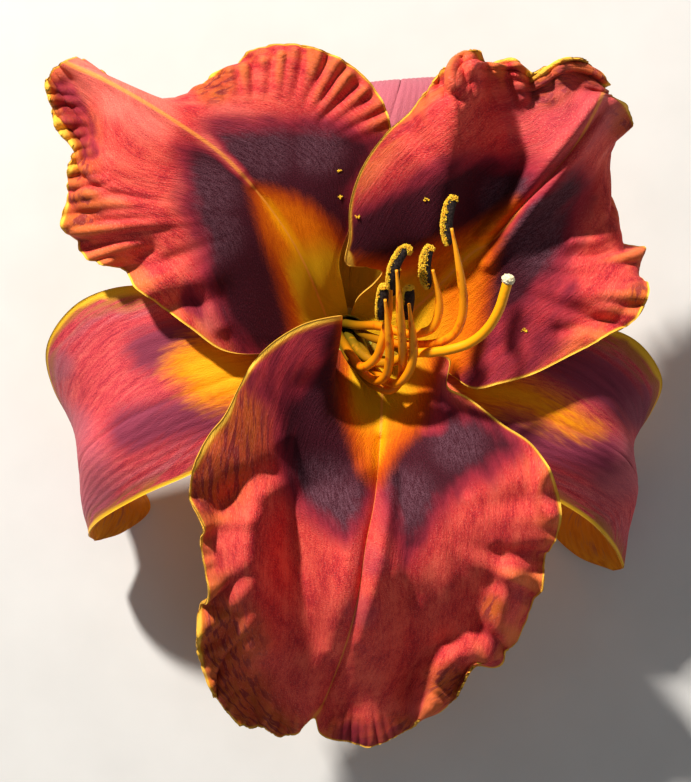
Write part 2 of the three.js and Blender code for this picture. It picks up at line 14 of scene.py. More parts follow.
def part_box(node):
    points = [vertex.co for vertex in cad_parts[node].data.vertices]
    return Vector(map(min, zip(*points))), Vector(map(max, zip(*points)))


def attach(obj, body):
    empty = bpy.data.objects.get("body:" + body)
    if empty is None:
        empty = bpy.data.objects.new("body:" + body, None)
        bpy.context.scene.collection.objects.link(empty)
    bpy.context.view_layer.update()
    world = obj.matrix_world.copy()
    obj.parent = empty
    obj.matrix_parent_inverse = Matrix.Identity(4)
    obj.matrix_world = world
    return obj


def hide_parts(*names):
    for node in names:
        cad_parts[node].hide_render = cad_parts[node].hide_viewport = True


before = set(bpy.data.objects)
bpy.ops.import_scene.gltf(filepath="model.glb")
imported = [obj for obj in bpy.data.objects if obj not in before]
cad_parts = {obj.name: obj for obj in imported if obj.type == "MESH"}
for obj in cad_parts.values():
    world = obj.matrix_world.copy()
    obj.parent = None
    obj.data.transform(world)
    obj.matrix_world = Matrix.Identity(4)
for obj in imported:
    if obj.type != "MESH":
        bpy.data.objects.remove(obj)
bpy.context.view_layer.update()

# Camera. The bloom lies face up and the photograph looks along its axis, so the camera looks straight down.
# One millimetre at the petals' height is five pixels of the 691 x 782 picture.
MM = 0.001
PICTURE_HEIGHT = 782
PIXELS_PER_MM = 5
PICTURE_CENTRE = (-0.5, -11.8)
PETAL_HEIGHT = 45
CAMERA_ABOVE_PETALS = 850
CAMERA_PLACE = (*PICTURE_CENTRE, PETAL_HEIGHT + CAMERA_ABOVE_PETALS)
tube_low, tube_high = (Vector(corner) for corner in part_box("perianth_tube"))
BLOOM_ORIGIN = Vector(((tube_low.x + tube_high.x) / 2, (tube_low.y + tube_high.y) / 2, 0))


def in_room(point):
    """A point of the bloom's frame, in millimetres, as metres in the room."""
    return BLOOM_ORIGIN + Vector(point) * MM


camera_data = bpy.data.cameras.new("camera")
camera_data.lens = camera_data.sensor_width * CAMERA_ABOVE_PETALS * PIXELS_PER_MM / PICTURE_HEIGHT
camera = bpy.data.objects.new("camera", camera_data)
camera.location = in_room(CAMERA_PLACE)
bpy.context.collection.objects.link(camera)
bpy.context.scene.camera = camera


# Studio light. A small softbox above the top left of the picture stands in for the sun, a wide one fills from
# the other side, and a pale surround keeps the shadows open. The standard view keeps the reds saturated.
SURROUND_COLOUR = (0.95, 0.97, 1, 1)
SURROUND_STRENGTH = 0.17
bpy.context.scene.view_settings.view_transform = "Standard"


def softbox(name, azimuth, elevation, distance, size, power, colour):
    """A square lamp that faces the bloom, azimuth and elevation in degrees, distance and size in metres."""
    data = bpy.data.lights.new(name, "AREA")
    data.size = size
    data.energy = power
    data.color = colour
    lamp = bpy.data.objects.new(name, data)
    turn, rise = math.radians(azimuth), math.radians(elevation)
    away = Vector((math.cos(rise) * math.cos(turn), math.cos(rise) * math.sin(turn), math.sin(rise)))
    lamp.location = in_room((0, 0, PETAL_HEIGHT)) + away * distance
    lamp.rotation_euler = away.to_track_quat("Z", "Y").to_euler()
    bpy.context.collection.objects.link(lamp)


softbox("key_softbox", azimuth=120, elevation=36, distance=1.2, size=0.08, power=29, colour=(1, 0.96, 0.9))
softbox("fill_softbox", azimuth=-40, elevation=60, distance=1.5, size=1.2, power=1.5, colour=(0.94, 0.97, 1))

world = bpy.data.worlds.new("studio")
world.use_nodes = True
surround = world.node_tree.nodes["Background"].inputs
surround["Color"].default_value = SURROUND_COLOUR
surround["Strength"].default_value = SURROUND_STRENGTH
bpy.context.scene.world = world


# Floor. A plain pale studio surface that the bloom lies on: one square of matt paper, whose tone is barely
# mottled. It is the stage and isn't part of the bloom.
class Socket:
    """A shader socket that takes part in Python expressions."""

    def __init__(self, finish, socket):
        self.finish = finish
        self.socket = socket

    def math(self, operation, *values):
        return self.finish.add("ShaderNodeMath", {"operation": operation}, dict(enumerate((self, *values))))

    def __add__(self, other):
        return self.math("ADD", other)

    def __sub__(self, other):
        return self.math("SUBTRACT", other)

    def __mul__(self, other):
        return self.math("MULTIPLY", other)

    def __rsub__(self, other):
        return self.finish.add("ShaderNodeMath", {"operation": "SUBTRACT"}, {0: other, 1: self})

    __radd__ = __add__
    __rmul__ = __mul__

    def step(self, start, end):
        """0 before start and 1 past end, smooth between; the other way round where start is greater."""
        if start > end:
            return 1 - self.step(end, start)
        inputs = {"Value": self, "From Min": start, "From Max": end}
        return self.finish.add("ShaderNodeMapRange", {"interpolation_type": "SMOOTHSTEP"}, inputs)


class Finish:
    """A material built around one Principled shader, with the shader's constants given by name."""

    def __init__(self, name, **constants):
        self.material = bpy.data.materials.new(name)
        self.material.use_nodes = True
        self.tree = self.material.node_tree
        self.shader = self.tree.nodes["Principled BSDF"]
        for socket, value in constants.items():
            self.shader.inputs[socket.replace("_", " ")].default_value = value

    def add(self, kind, settings=None, inputs=None, output=0):
        """A node of this type with its settings and its sockets' values or links: the output that counts."""
        node = self.tree.nodes.new(kind)
        for name, value in (settings or {}).items():
            if name == "stops":
                elements = node.color_ramp.elements
                elements.remove(elements[1])
                elements[0].position, elements[0].color = value[0][0], (*value[0][1], 1)
                for position, colour in value[1:]:
                    elements.new(position).color = (*colour, 1)
            else:
                setattr(node, name, value)
        for name, value in (inputs or {}).items():
            if isinstance(value, Socket):
                self.tree.links.new(value.socket, node.inputs[name])
            elif node.inputs[name].type == "RGBA":
                node.inputs[name].default_value = (*value, 1)
            else:
                node.inputs[name].default_value = value
        return Socket(self, node.outputs[output])

    def carried(self, name):
        """The three numbers that a mesh carries at each of its points under this name."""
        vector = self.add("ShaderNodeAttribute", {"attribute_name": name}, output="Vector")
        return [self.add("ShaderNodeSeparateXYZ", None, {0: vector}, axis) for axis in range(3)]

    def point(self, x, y):
        return self.add("ShaderNodeCombineXYZ", None, {0: x, 1: y})

    def on_object(self):
        return self.add("ShaderNodeTexCoord", output="Object")

    def noise(self, place, scale, detail):
        return self.add("ShaderNodeTexNoise", None, {"Vector": place, "Scale": scale, "Detail": detail})

    def mix(self, share, first, second):
        return self.add("ShaderNodeMix", {"data_type": "RGBA"}, {0: share, 6: first, 7: second}, 2)

    def shades(self, value, *stops):
        return self.add("ShaderNodeValToRGB", {"stops": stops}, {0: value})

    def feed(self, socket, value):
        self.tree.links.new(value.socket, self.shader.inputs[socket])

    def relief(self, height, distance):
        """Bumps of this height map, distance metres high, on the shader's normal."""
        bump = self.add("ShaderNodeBump", None, {"Height": height, "Distance": distance})
        self.feed("Normal", bump)


FLOOR_HALF = 1.5
corners = [(x * FLOOR_HALF, y * FLOOR_HALF, 0) for x, y in ((-1, -1), (1, -1), (1, 1), (-1, 1))]
floor_mesh = bpy.data.meshes.new("floor")
floor_mesh.from_pydata(corners, [], [(0, 1, 2, 3)])
floor = bpy.data.objects.new("floor", floor_mesh)
bpy.context.collection.objects.link(floor)
paper = Finish("pale_paper", Roughness=0.9)
mottle = paper.noise(paper.on_object(), 60.0, 3.0)
paper.feed("Base Color", paper.shades(mottle, (0.3, (0.66, 0.65, 0.63)), (0.7, (0.70, 0.69, 0.67))))
floor_mesh.materials.append(paper.material)


# Perianth tube and pedicel. The six tepals end in a short fleshy tube, yellow-green and ribbed lengthwise, on
# the end of the green stalk, which is cut straight across. Both are turned shapes with shallow ribs.
def new_piece(name, points, faces, finish, replaced=(), carried=None):
    """A smooth mesh object from points in millimetres, riding on the root body and dressed."""
    mesh = bpy.data.meshes.new(name)
    points = np.asarray(points, float) * MM + np.array(BLOOM_ORIGIN)
    mesh.from_pydata(points.tolist(), [], faces)
    mesh.polygons.foreach_set("use_smooth", [True] * len(mesh.polygons))
    for label, values in (carried or {}).items():
        layer = mesh.attributes.new(label, "FLOAT_VECTOR", "POINT")
        layer.data.foreach_set("vector", np.asarray(values, np.float32).ravel())
    mesh.materials.append(finish.material)
    mesh.update()
    piece = bpy.data.objects.new(name, mesh)
    bpy.context.collection.objects.link(piece)
    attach(piece, "root")
    if replaced:
        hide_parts(*replaced)


def grid_faces(rows, columns, start=0, closed=False):
    """Quads over a grid of points, rows by columns, whose columns may close into rings."""
    faces = []
    for i in range(rows - 1):
        for j in range(columns if closed else columns - 1):
            k = (j + 1) % columns
            low, high = start + i * columns, start + (i + 1) * columns
            faces.append((low + j, low + k, high + k, high + j))
    return faces


def turned(profile, ribs, rib_depth, sides=96):
    """Points and faces of a profile of (radius, z) turned round Z, with ribs that fade at its ends."""
    points = []
    for i, (radius, z) in enumerate(profile):
        share = math.sin(math.pi * i / (len(profile) - 1))
        for k in range(sides):
            turn = 2 * math.pi * k / sides
            r = radius * (1 + rib_depth * share * math.cos(ribs * turn))
            points.append((r * math.cos(turn), r * math.sin(turn), z))
    return points, grid_faces(len(profile), sides, closed=True)


TUBE_PROFILE = [
    (0.01, 6), (1.6, 6), (2.6, 6.1), (3.2, 6.9), (3.7, 8), (3.9, 10), (4, 12), (4.15, 14.5), (4.3, 17),
    (4.6, 19.3), (4.9, 21), (5.5, 22.6), (6, 23.7), (6.1, 24), (5.9, 24.1), (3.6, 24.1), (3.5, 23.9),
    (3.45, 22.5), (3.4, 21), (3.35, 19), (3.3, 17), (3, 12), (2.6, 9.1), (0.01, 8.9),
]
PEDICEL_PROFILE = [
    (0.01, 1), (1.9, 1), (1.98, 1.15), (2.0, 2), (2.07, 3.4), (2.3, 4.6), (2.5, 5.4), (2.5, 5.7), (0.01, 5.7),
]


def fleshy_green(name, light, dark, yellow):
    """Smooth green skin, streaked lengthwise and blotched with yellow."""
    skin = Finish(name, Roughness=0.45)
    place = skin.on_object()
    stripes = skin.add("ShaderNodeMapping", None, {"Vector": place, "Scale": (1, 1, 0.12)})
    streak = skin.noise(stripes, 1400.0, 3.0)
    blotch = skin.noise(place, 260.0, 2.0)
    green = skin.shades(streak, (0.35, dark), (0.65, light))
    skin.feed("Base Color", skin.mix(blotch.step(0.42, 0.62) * 0.6, green, yellow))
    skin.relief(streak, 0.00012)
    return skin


tube_skin = fleshy_green("tube_skin", (0.50, 0.46, 0.06), (0.34, 0.34, 0.04), (0.70, 0.46, 0.03))
stalk_skin = fleshy_green("stalk_skin", (0.16, 0.27, 0.05), (0.08, 0.16, 0.03), (0.26, 0.33, 0.07))
tube_points, tube_faces = turned(TUBE_PROFILE, ribs=12, rib_depth=0.018)
new_piece("tube_flesh", tube_points, tube_faces, tube_skin, ["perianth_tube"])
stalk_points, stalk_faces = turned(PEDICEL_PROFILE, ribs=6, rib_depth=0.03, sides=64)
new_piece("stalk", stalk_points, stalk_faces, stalk_skin, ["pedicel"])


# Sepals. Three narrower outer tepals, smooth edged, that arch out and roll under the bloom, which rests on
# their lowest bends. Each grows from the tube's rim and is one thin blade on a net of long smooth lines.
TEPAL_THICKNESS = 0.8
EDGE_THICKNESS = 0.4
EDGE_TAPER = 4
SPAN_SAMPLES = 32
STEPS_PER_POINT = 8
CLAW_Z = 24.6
SEPAL_CLAW_RADIUS = 5.5
SEPAL_GRID = (170, 90)
NARROWING_FROM = 0.82
NOTCH_FROM = 0.7
NOTCH_HALF_WIDTH = 0.075
# Each tepal's net: the turn of its claw on the tube and how wide that is, in degrees, and its long lines from
# the claw to the tip, by their place across it: -1 is its right margin, 0 its midrib and 1 its left margin.
SEPALS = {
    "sepal_left": {
        "azimuth": 207,
        "span": 84,
        "lines": {
            -1: [
                (-9.6, 1.2, 27), (-19.6, 3.4, 30), (-31.6, 7, 31), (-43.6, 9.6, 32.5), (-54.4, 6.4, 32),
                (-61.2, -1.8, 27), (-60.8, -11, 17.5), (-55, -21, 7), (-46.6, -29, -0.6),
                (-41.6, -36.2, 1.5), (-47, -41.2, 6), (-51, -42.6, 9.2),
            ],
            0: [
                (-10.6, -4, 28), (-20.6, -8, 32.5), (-32.6, -12.6, 35.5), (-44.4, -17.6, 35),
                (-53.4, -24.4, 30), (-54.6, -30.8, 22), (-52.6, -38, 14), (-52, -42.8, 10),
            ],
            1: [
                (-7.4, -8.6, 28), (-12.4, -15.6, 32), (-20.6, -22.6, 34), (-31.6, -28.6, 35),
                (-41.6, -33, 33), (-50.6, -38.2, 26), (-53.4, -41.4, 18), (-52.8, -42.8, 11),
            ],
        },
    },
    "sepal_right": {
        "azimuth": 330,
        "span": 84,
        "lines": {
            -1: [
                (5.4, -10, 28), (10.5, -17.6, 31), (20.4, -24.6, 32), (31.4, -29.6, 33), (41.4, -33.6, 32),
                (49.4, -38.6, 28), (54.6, -44, 21), (57.2, -48.4, 12),
            ],
            0: [
                (10.4, -4.6, 28), (20.4, -9.2, 32.5), (32.4, -14, 35), (44.8, -19.2, 35),
                (55.6, -24.8, 31), (59.2, -31, 22.5), (57.2, -40, 14), (57, -48.8, 10.6),
            ],
            1: [
                (10.7, 0.8, 28), (20.5, 1.4, 31.5), (34.4, 2, 33.5), (47.4, 2, 34), (58, -1.2, 32),
                (64, -8.8, 26.5), (62.6, -16, 17), (57, -24, 7.2), (48.4, -31.6, -0.6), (42.6, -39.6, 0.5),
                (47.6, -46, 5), (55.4, -49.2, 9.4),
            ],
        },
    },
    "sepal_top": {
        "azimuth": 88,
        "span": 84,
        "lines": {
            -1: [
                (6, 7.4, 27), (10.9, 13.4, 30), (16.4, 24.4, 32), (20.4, 36.4, 33), (21.4, 48, 30.5),
                (19.4, 52.6, 22), (16.4, 49.4, 12), (12.8, 43, 3), (11, 38, -0.6),
            ],
            0: [
                (0.2, 10.4, 27.5), (1.4, 20.4, 31.5), (4.4, 31.4, 34.5), (8, 41.8, 34.5), (10.4, 49.8, 30),
                (10.8, 51.8, 22), (10.4, 48.4, 11), (10, 42.6, 2), (10, 37.4, -0.6),
            ],
            1: [
                (-5.4, 7.4, 27), (-8.6, 14, 30), (-8, 25.4, 32), (-4.6, 36.8, 33), (-0.6, 46.6, 30),
                (2.4, 51.2, 22), (4.8, 48.6, 12), (7.6, 43, 3), (9, 38, -0.6),
            ],
        },
    },
}


def smooth(x):
    x = np.clip(x, 0, 1)
    return x * x * (3 - 2 * x)


def smooth_line(through, count):
    """Evenly spaced points on the smooth curve through the given ones."""
    points = np.array(through, float)
    padded = np.vstack([2 * points[0] - points[1], points, 2 * points[-1] - points[-2]])
    t = np.linspace(0, 1, SPAN_SAMPLES, endpoint=False)[:, None]
    pieces = []
    for a, b, c, d in zip(padded, padded[1:], padded[2:], padded[3:]):
        ab, bc, cd = (math.sqrt(np.linalg.norm(end - start)) for start, end in ((a, b), (b, c), (c, d)))
        leave = ((b - a) / ab - (c - a) / (ab + bc) + (c - b) / bc) * bc
        arrive = ((c - b) / bc - (d - b) / (bc + cd) + (d - c) / cd) * bc
        squared, cubed = 3 * (c - b) - 2 * leave - arrive, 2 * (b - c) + leave + arrive
        pieces.append(b + leave * t + squared * t**2 + cubed * t**3)
    curve = np.vstack([*pieces, points[-1:]])
    walked = np.concatenate([[0], np.cumsum(np.linalg.norm(np.diff(curve, axis=0), axis=1))])
    even = np.linspace(0, walked[-1], count)
    return np.stack([np.interp(even, walked, curve[:, axis]) for axis in range(curve.shape[1])], axis=1)


def net_surface(tepal, claw_radius, rows, columns):
    """The smooth surface through a tepal's long lines: a grid of points, and each one's shares along and
    across. A tip may be narrowed to a round one, and a notch is drawn into it towards the claw."""
    places = np.array(sorted(tepal["lines"]))
    walks = []
    for place in places:
        turn = math.radians(tepal["azimuth"] + place * tepal["span"] / 2)
        root = (claw_radius * math.cos(turn), claw_radius * math.sin(turn), CLAW_Z)
        walks.append(smooth_line([root, *tepal["lines"][place]], rows))
    walks = np.array(walks)
    last = len(places) - 1
    slopes = np.array([
        (walks[min(i + 1, last)] - walks[max(i - 1, 0)]) / (places[min(i + 1, last)] - places[max(i - 1, 0)])
        for i in range(last + 1)
    ])
    u, v = np.meshgrid(np.linspace(0, 1, rows), np.linspace(-1, 1, columns), indexing="ij")
    tip = np.clip((u - NARROWING_FROM) / (1 - NARROWING_FROM), 0, 1)
    v = v * (1 - tepal.get("narrowing", 0) * (1 - np.sqrt(1 - tip**2)))
    i = np.clip(np.searchsorted(places, v) - 1, 0, last - 1)
    width = (places[i + 1] - places[i])[..., None]
    t = (v - places[i])[..., None] / width
    row = np.arange(rows)[:, None]
    grid = (
        walks[i, row] * (2 * t**3 - 3 * t**2 + 1) + slopes[i, row] * width * (t**3 - 2 * t**2 + t)
        + walks[i + 1, row] * (3 * t**2 - 2 * t**3) + slopes[i + 1, row] * width * (t**3 - t**2)
    )
    if "notch" in tepal:
        share = np.clip((u - NOTCH_FROM) / (1 - NOTCH_FROM), 0, 1)
        drawn = u - tepal["notch"] * share**2 * np.exp(-((v / NOTCH_HALF_WIDTH) ** 2))
        for column in range(columns):
            for axis in range(3):
                grid[:, column, axis] = np.interp(drawn[:, column], u[:, column], grid[:, column, axis])
        u = drawn
    return grid, u, v


def normals_of(grid):
    normal = np.cross(np.gradient(grid, axis=0), np.gradient(grid, axis=1))
    return normal / np.linalg.norm(normal, axis=2, keepdims=True)


def rim_distance(grid):
    """How far each point is from the free margin, from the claw and across from the middle, in millimetres
    along the blade."""
    across = np.linalg.norm(np.diff(grid, axis=1), axis=2)
    from_right = np.concatenate([np.zeros((len(grid), 1)), np.cumsum(across, axis=1)], axis=1)
    from_left = from_right[:, -1:] - from_right
    along = np.linalg.norm(np.diff(grid, axis=0), axis=2)
    from_claw = np.concatenate([np.zeros((1, grid.shape[1])), np.cumsum(along, axis=0)], axis=0)
    from_tip = from_claw[-1:] - from_claw
    return np.minimum(np.minimum(from_right, from_left), from_tip), from_claw, (from_right - from_left) / 2


def seen(grid):
    """Where each point shows from straight above, on the level of the petals, in millimetres."""
    towards = CAMERA_ABOVE_PETALS / (CAMERA_ABOVE_PETALS + PETAL_HEIGHT - grid[..., 2:])
    centre = np.array(PICTURE_CENTRE)
    return centre + (grid[..., :2] - centre) * towards


def distance_to(line, places, closed=False):
    """Distance of each place from a smooth line through points, the share of the line that is nearest, and
    whether a closed line has the place inside."""
    points = [*line, line[0]] if closed else line
    path = smooth_line(points, STEPS_PER_POINT * len(points))
    nearest = np.full(places.shape[:2], np.inf)
    share = np.zeros(places.shape[:2])
    inside = np.zeros(places.shape[:2], bool)
    for k, (a, b) in enumerate(zip(path, path[1:])):
        run = b - a
        part = np.clip(((places - a) @ run) / max(run @ run, 1e-9), 0, 1)
        gap = np.linalg.norm(places - a - part[..., None] * run, axis=2)
        share = np.where(gap < nearest, (k + part) / (len(path) - 1), share)
        nearest = np.minimum(nearest, gap)
        crosses = (a[1] > places[..., 1]) != (b[1] > places[..., 1])
        level = a[0] + run[0] * (places[..., 1] - a[1]) / (run[1] if run[1] else 1e-9)
        inside ^= crosses & (places[..., 0] < level)
    return nearest, share, inside


def zone(outline, places):
    """How deep each place lies inside a smooth outline, in millimetres, and less than nought outside it."""
    nearest, _, inside = distance_to(outline, places, closed=True)
    return np.where(inside, nearest, -nearest)


def blade(name, grid, finish, carried):
    """A closed blade on both sides of a grid, thinner at its margin. carried has arrays over the grid, and
    skin is 1 on the upper side and 0 on the reverse."""
    rows, columns = grid.shape[:2]
    fullness = np.clip(rim_distance(grid)[0] / EDGE_TAPER, 0, 1)
    thickness = EDGE_THICKNESS + (TEPAL_THICKNESS - EDGE_THICKNESS) * fullness
    offset = normals_of(grid) * thickness[..., None] / 2
    points = np.concatenate([(grid + offset).reshape(-1, 3), (grid - offset).reshape(-1, 3)])
    points[:, 2] = np.maximum(points[:, 2], 0)
    count = rows * columns
    upper = grid_faces(rows, columns)
    lower = [(a + count, d + count, c + count, b + count) for a, b, c, d in upper]
    index = np.arange(count).reshape(rows, columns)
    rim = [*index[:-1, 0], *index[-1, :-1], *index[:0:-1, -1], *index[0, :0:-1]]
    wall = [(int(a), int(a) + count, int(b) + count, int(b)) for a, b in zip(rim, rim[1:] + rim[:1])]
    doubled = {label: np.concatenate([values.reshape(-1, 3)] * 2) for label, values in carried.items()}
    skin = np.zeros((2 * count, 3))
    skin[:count, 0] = 1
    doubled["skin"] = skin
    new_piece(name + "_blade", points, [*upper, *lower, *wall], finish, [name], doubled)


def patch(places, x, y, radius, plateau=1.5):
    """How much of a soft round patch lies on each place: 1 near its middle, nought well past its radius."""
    return smooth(plateau - np.linalg.norm(places - (x, y), axis=2) / radius)


# Where the golden glow of a sepal's face lies and where dark bands run beside it, as seen from above.
SEPAL_GLOW = {
    "sepal_left": [
        (-36.6, -8.6), (-35.2, -4), (-28.6, -0.6), (-20.6, -2.6), (-14.6, -8.6), (-17.2, -14.6),
        (-22.6, -15.2), (-29.6, -14.4),
    ],
    "sepal_right": [
        (21.4, -10.6), (24.4, -8), (32.4, -8), (39.4, -11.2), (46.4, -16), (50.8, -19.6), (46.4, -20.8),
        (39.4, -18.4), (32.8, -16), (26.4, -16.6), (22.8, -14.6),
    ],
    "sepal_top": [(-3.6, 14), (10.4, 15.4), (14.4, 6.4), (10.4, -2.6), (-0.6, -2.6)],
}
SEPAL_BANDS = {
    "sepal_left": [
        [(-39.6, -3.6), (-31.6, -1.2), (-21.6, 0.4), (-11.6, 0.4)],
        [(-43.6, -19.6), (-33.6, -17.2), (-22.6, -16)],
    ],
    "sepal_right": [
        [(24.4, -4), (36.4, -3.6), (50.4, -9.6), (58.4, -15.6)],
        [(26.4, -18.6), (38.4, -21.6), (50.4, -24.6)],
    ],
    "sepal_top": [],
}
# Where a sepal's golden margin is wider, and where a mauve bloom lies on it: x, y, the spread and the width.
SEPAL_GOLDEN = {
    "sepal_left": [(-44, 9.2, 6, 3), (-49.6, 6.8, 5, 1.8), (-55.2, 2.8, 5, 1.3)],
    "sepal_right": [(50.4, -2.6, 5, 2), (58.4, -5.6, 5, 2)],
    "sepal_top": [],
}
SEPAL_BLOOMS = {
    "sepal_left": [(-53.6, -27.6, 7), (-51.2, -33.6, 5), (-55.6, -19.6, 5), (-57.6, -6.6, 3)],
    "sepal_right": [(54.4, -27.6, 6)],
    "sepal_top": [],
}
# How far a sepal is mauve all over, how mauve a bloom is, and the half-width of a dark band, with the depth
# in it that stands for no band. The golden margin keeps its full width over the plateau of its patch.
SEPAL_PALE = {"sepal_top": 0.9}
SEPAL_BLOOM_DEPTH = 0.6
BAND_HALF_WIDTH, NO_BAND = 3.5, -9.0
GOLD_PLATEAU = 1.6
# Sepal veins: their number, their height, how far they wander and over which length, and the midrib's groove.
VEINS, VEIN_HEIGHT, VEIN_WANDER, WANDER_LENGTH = 9, 0.04, 1.5, 17
GROOVE_DEPTH, GROOVE_HALF_WIDTH = 0.3, 0.03
SMOOTH_RIM, SMOOTH_CLAW = 3, 12


def sepal_finish():
    """Satin skin, from the ground up: red, mauve at the edge and on the bloom, wine bands, the orange glow
    and the gold margin. The reverse is orange with rose veins."""
    skin = Finish(
        "sepal_satin", Roughness=0.55, Specular_IOR_Level=0.15, Sheen_Weight=0.06, Sheen_Roughness=0.4,
    )
    skin.shader.inputs["Sheen Tint"].default_value = (1, 0.7, 0.75, 1)
    along, across, rim = skin.carried("place")
    glow, band, pale = skin.carried("zones")
    face, _, _ = skin.carried("skin")
    streak = skin.noise(skin.point(along * 0.08, across * 0.8), 1.0, 3.0)
    fine = skin.noise(skin.point(along * 0.5, across * 2.2), 1.0, 3.0)
    grain = skin.noise(skin.point(along, across), 4.2, 3.0)
    tone = streak * 0.3 + fine * 0.3 + grain * 0.4
    red = skin.shades(
        tone, (0.38, (0.34, 0.020, 0.040)), (0.5, (0.62, 0.055, 0.065)), (0.62, (0.80, 0.13, 0.11)),
    )
    mauve = skin.shades(fine * 0.4 + grain * 0.6, (0.35, (0.24, 0.03, 0.07)), (0.65, (0.56, 0.17, 0.20)))
    edge = skin.mix(rim.step(10.0, 1.5) * streak.step(0.35, 0.6) * 0.7, red, mauve)
    edge = skin.mix(pale, edge, skin.mix(grain, (0.26, 0.05, 0.085), (0.52, 0.155, 0.19)))
    wine = skin.mix(streak, (0.10, 0.010, 0.028), (0.34, 0.045, 0.085))
    dark = skin.mix((band + (streak - 0.5) * 7.0 + (fine - 0.5) * 2.5).step(-3.5, 1.8), edge, wine)
    warm = skin.shades(fine, (0.35, (0.80, 0.18, 0.001)), (0.65, (0.91, 0.28, 0.002)))
    lit = skin.mix((glow + (streak - 0.5) * 6.0 + (fine - 0.5) * 2.5).step(-3.0, 3.0), dark, warm)
    lit = skin.mix((glow + (streak - 0.5) * 4.0).step(1.0, 6.0) * 0.8, lit, (0.97, 0.42, 0.003))
    lit = skin.mix(along.step(20.0, 12.0), lit, (0.34, 0.18, 0.003))
    brown = skin.mix(rim.step(4.0, 0.8) * streak.step(0.38, 0.55) * 0.75, lit, (0.42, 0.14, 0.006))
    gold = skin.mix(rim.step(1.1, 0.45), brown, (0.86, 0.46, 0.02))
    reverse = skin.shades(streak, (0.35, (0.74, 0.22, 0.006)), (0.6, (0.92, 0.36, 0.01)))
    blush = skin.mix(streak.step(0.45, 0.65) * rim.step(1.0, 6.0) * 0.7, reverse, (0.42, 0.08, 0.06))
    skin.feed("Base Color", skin.mix(face.step(0.4, 0.6), blush, gold))
    skin.feed("Roughness", 0.5 + grain * 0.25)
    skin.relief(fine * 0.35 + grain * 0.65, 0.00025)
    return skin


sepal_satin = sepal_finish()
for name, tepal in SEPALS.items():
    grid, _, v = net_surface(tepal, SEPAL_CLAW_RADIUS, *SEPAL_GRID)
    rim, along, across = rim_distance(grid)
    vein = VEIN_HEIGHT * np.sin(2 * math.pi * VEINS * v + VEIN_WANDER * np.sin(along / WANDER_LENGTH))
    vein = vein - GROOVE_DEPTH * np.exp(-((v / GROOVE_HALF_WIDTH) ** 2))
    lift = vein * np.clip(rim / SMOOTH_RIM, 0, 1) * np.clip(along / SMOOTH_CLAW, 0, 1)
    grid = grid + normals_of(grid) * lift[..., None]
    places = seen(grid)
    glow = zone(SEPAL_GLOW[name], places)
    bands = [distance_to(line, places)[0] for line in SEPAL_BANDS[name]]
    band = BAND_HALF_WIDTH - np.min(bands, axis=0) if bands else np.full(glow.shape, NO_BAND)
    pale = np.full(glow.shape, SEPAL_PALE.get(name, 0.0))
    reach = np.ones(glow.shape)
    for x, y, radius, width in SEPAL_GOLDEN[name]:
        reach = np.maximum(reach, width * patch(places, x, y, radius, GOLD_PLATEAU))
    for x, y, radius in SEPAL_BLOOMS[name]:
        pale = np.maximum(pale, SEPAL_BLOOM_DEPTH * patch(places, x, y, radius))
    carried = {
        "place": np.stack([along, across, rim / reach], axis=2),
        "zones": np.stack([glow, band, pale], axis=2),
    }
    blade(name, grid, sepal_satin, carried)


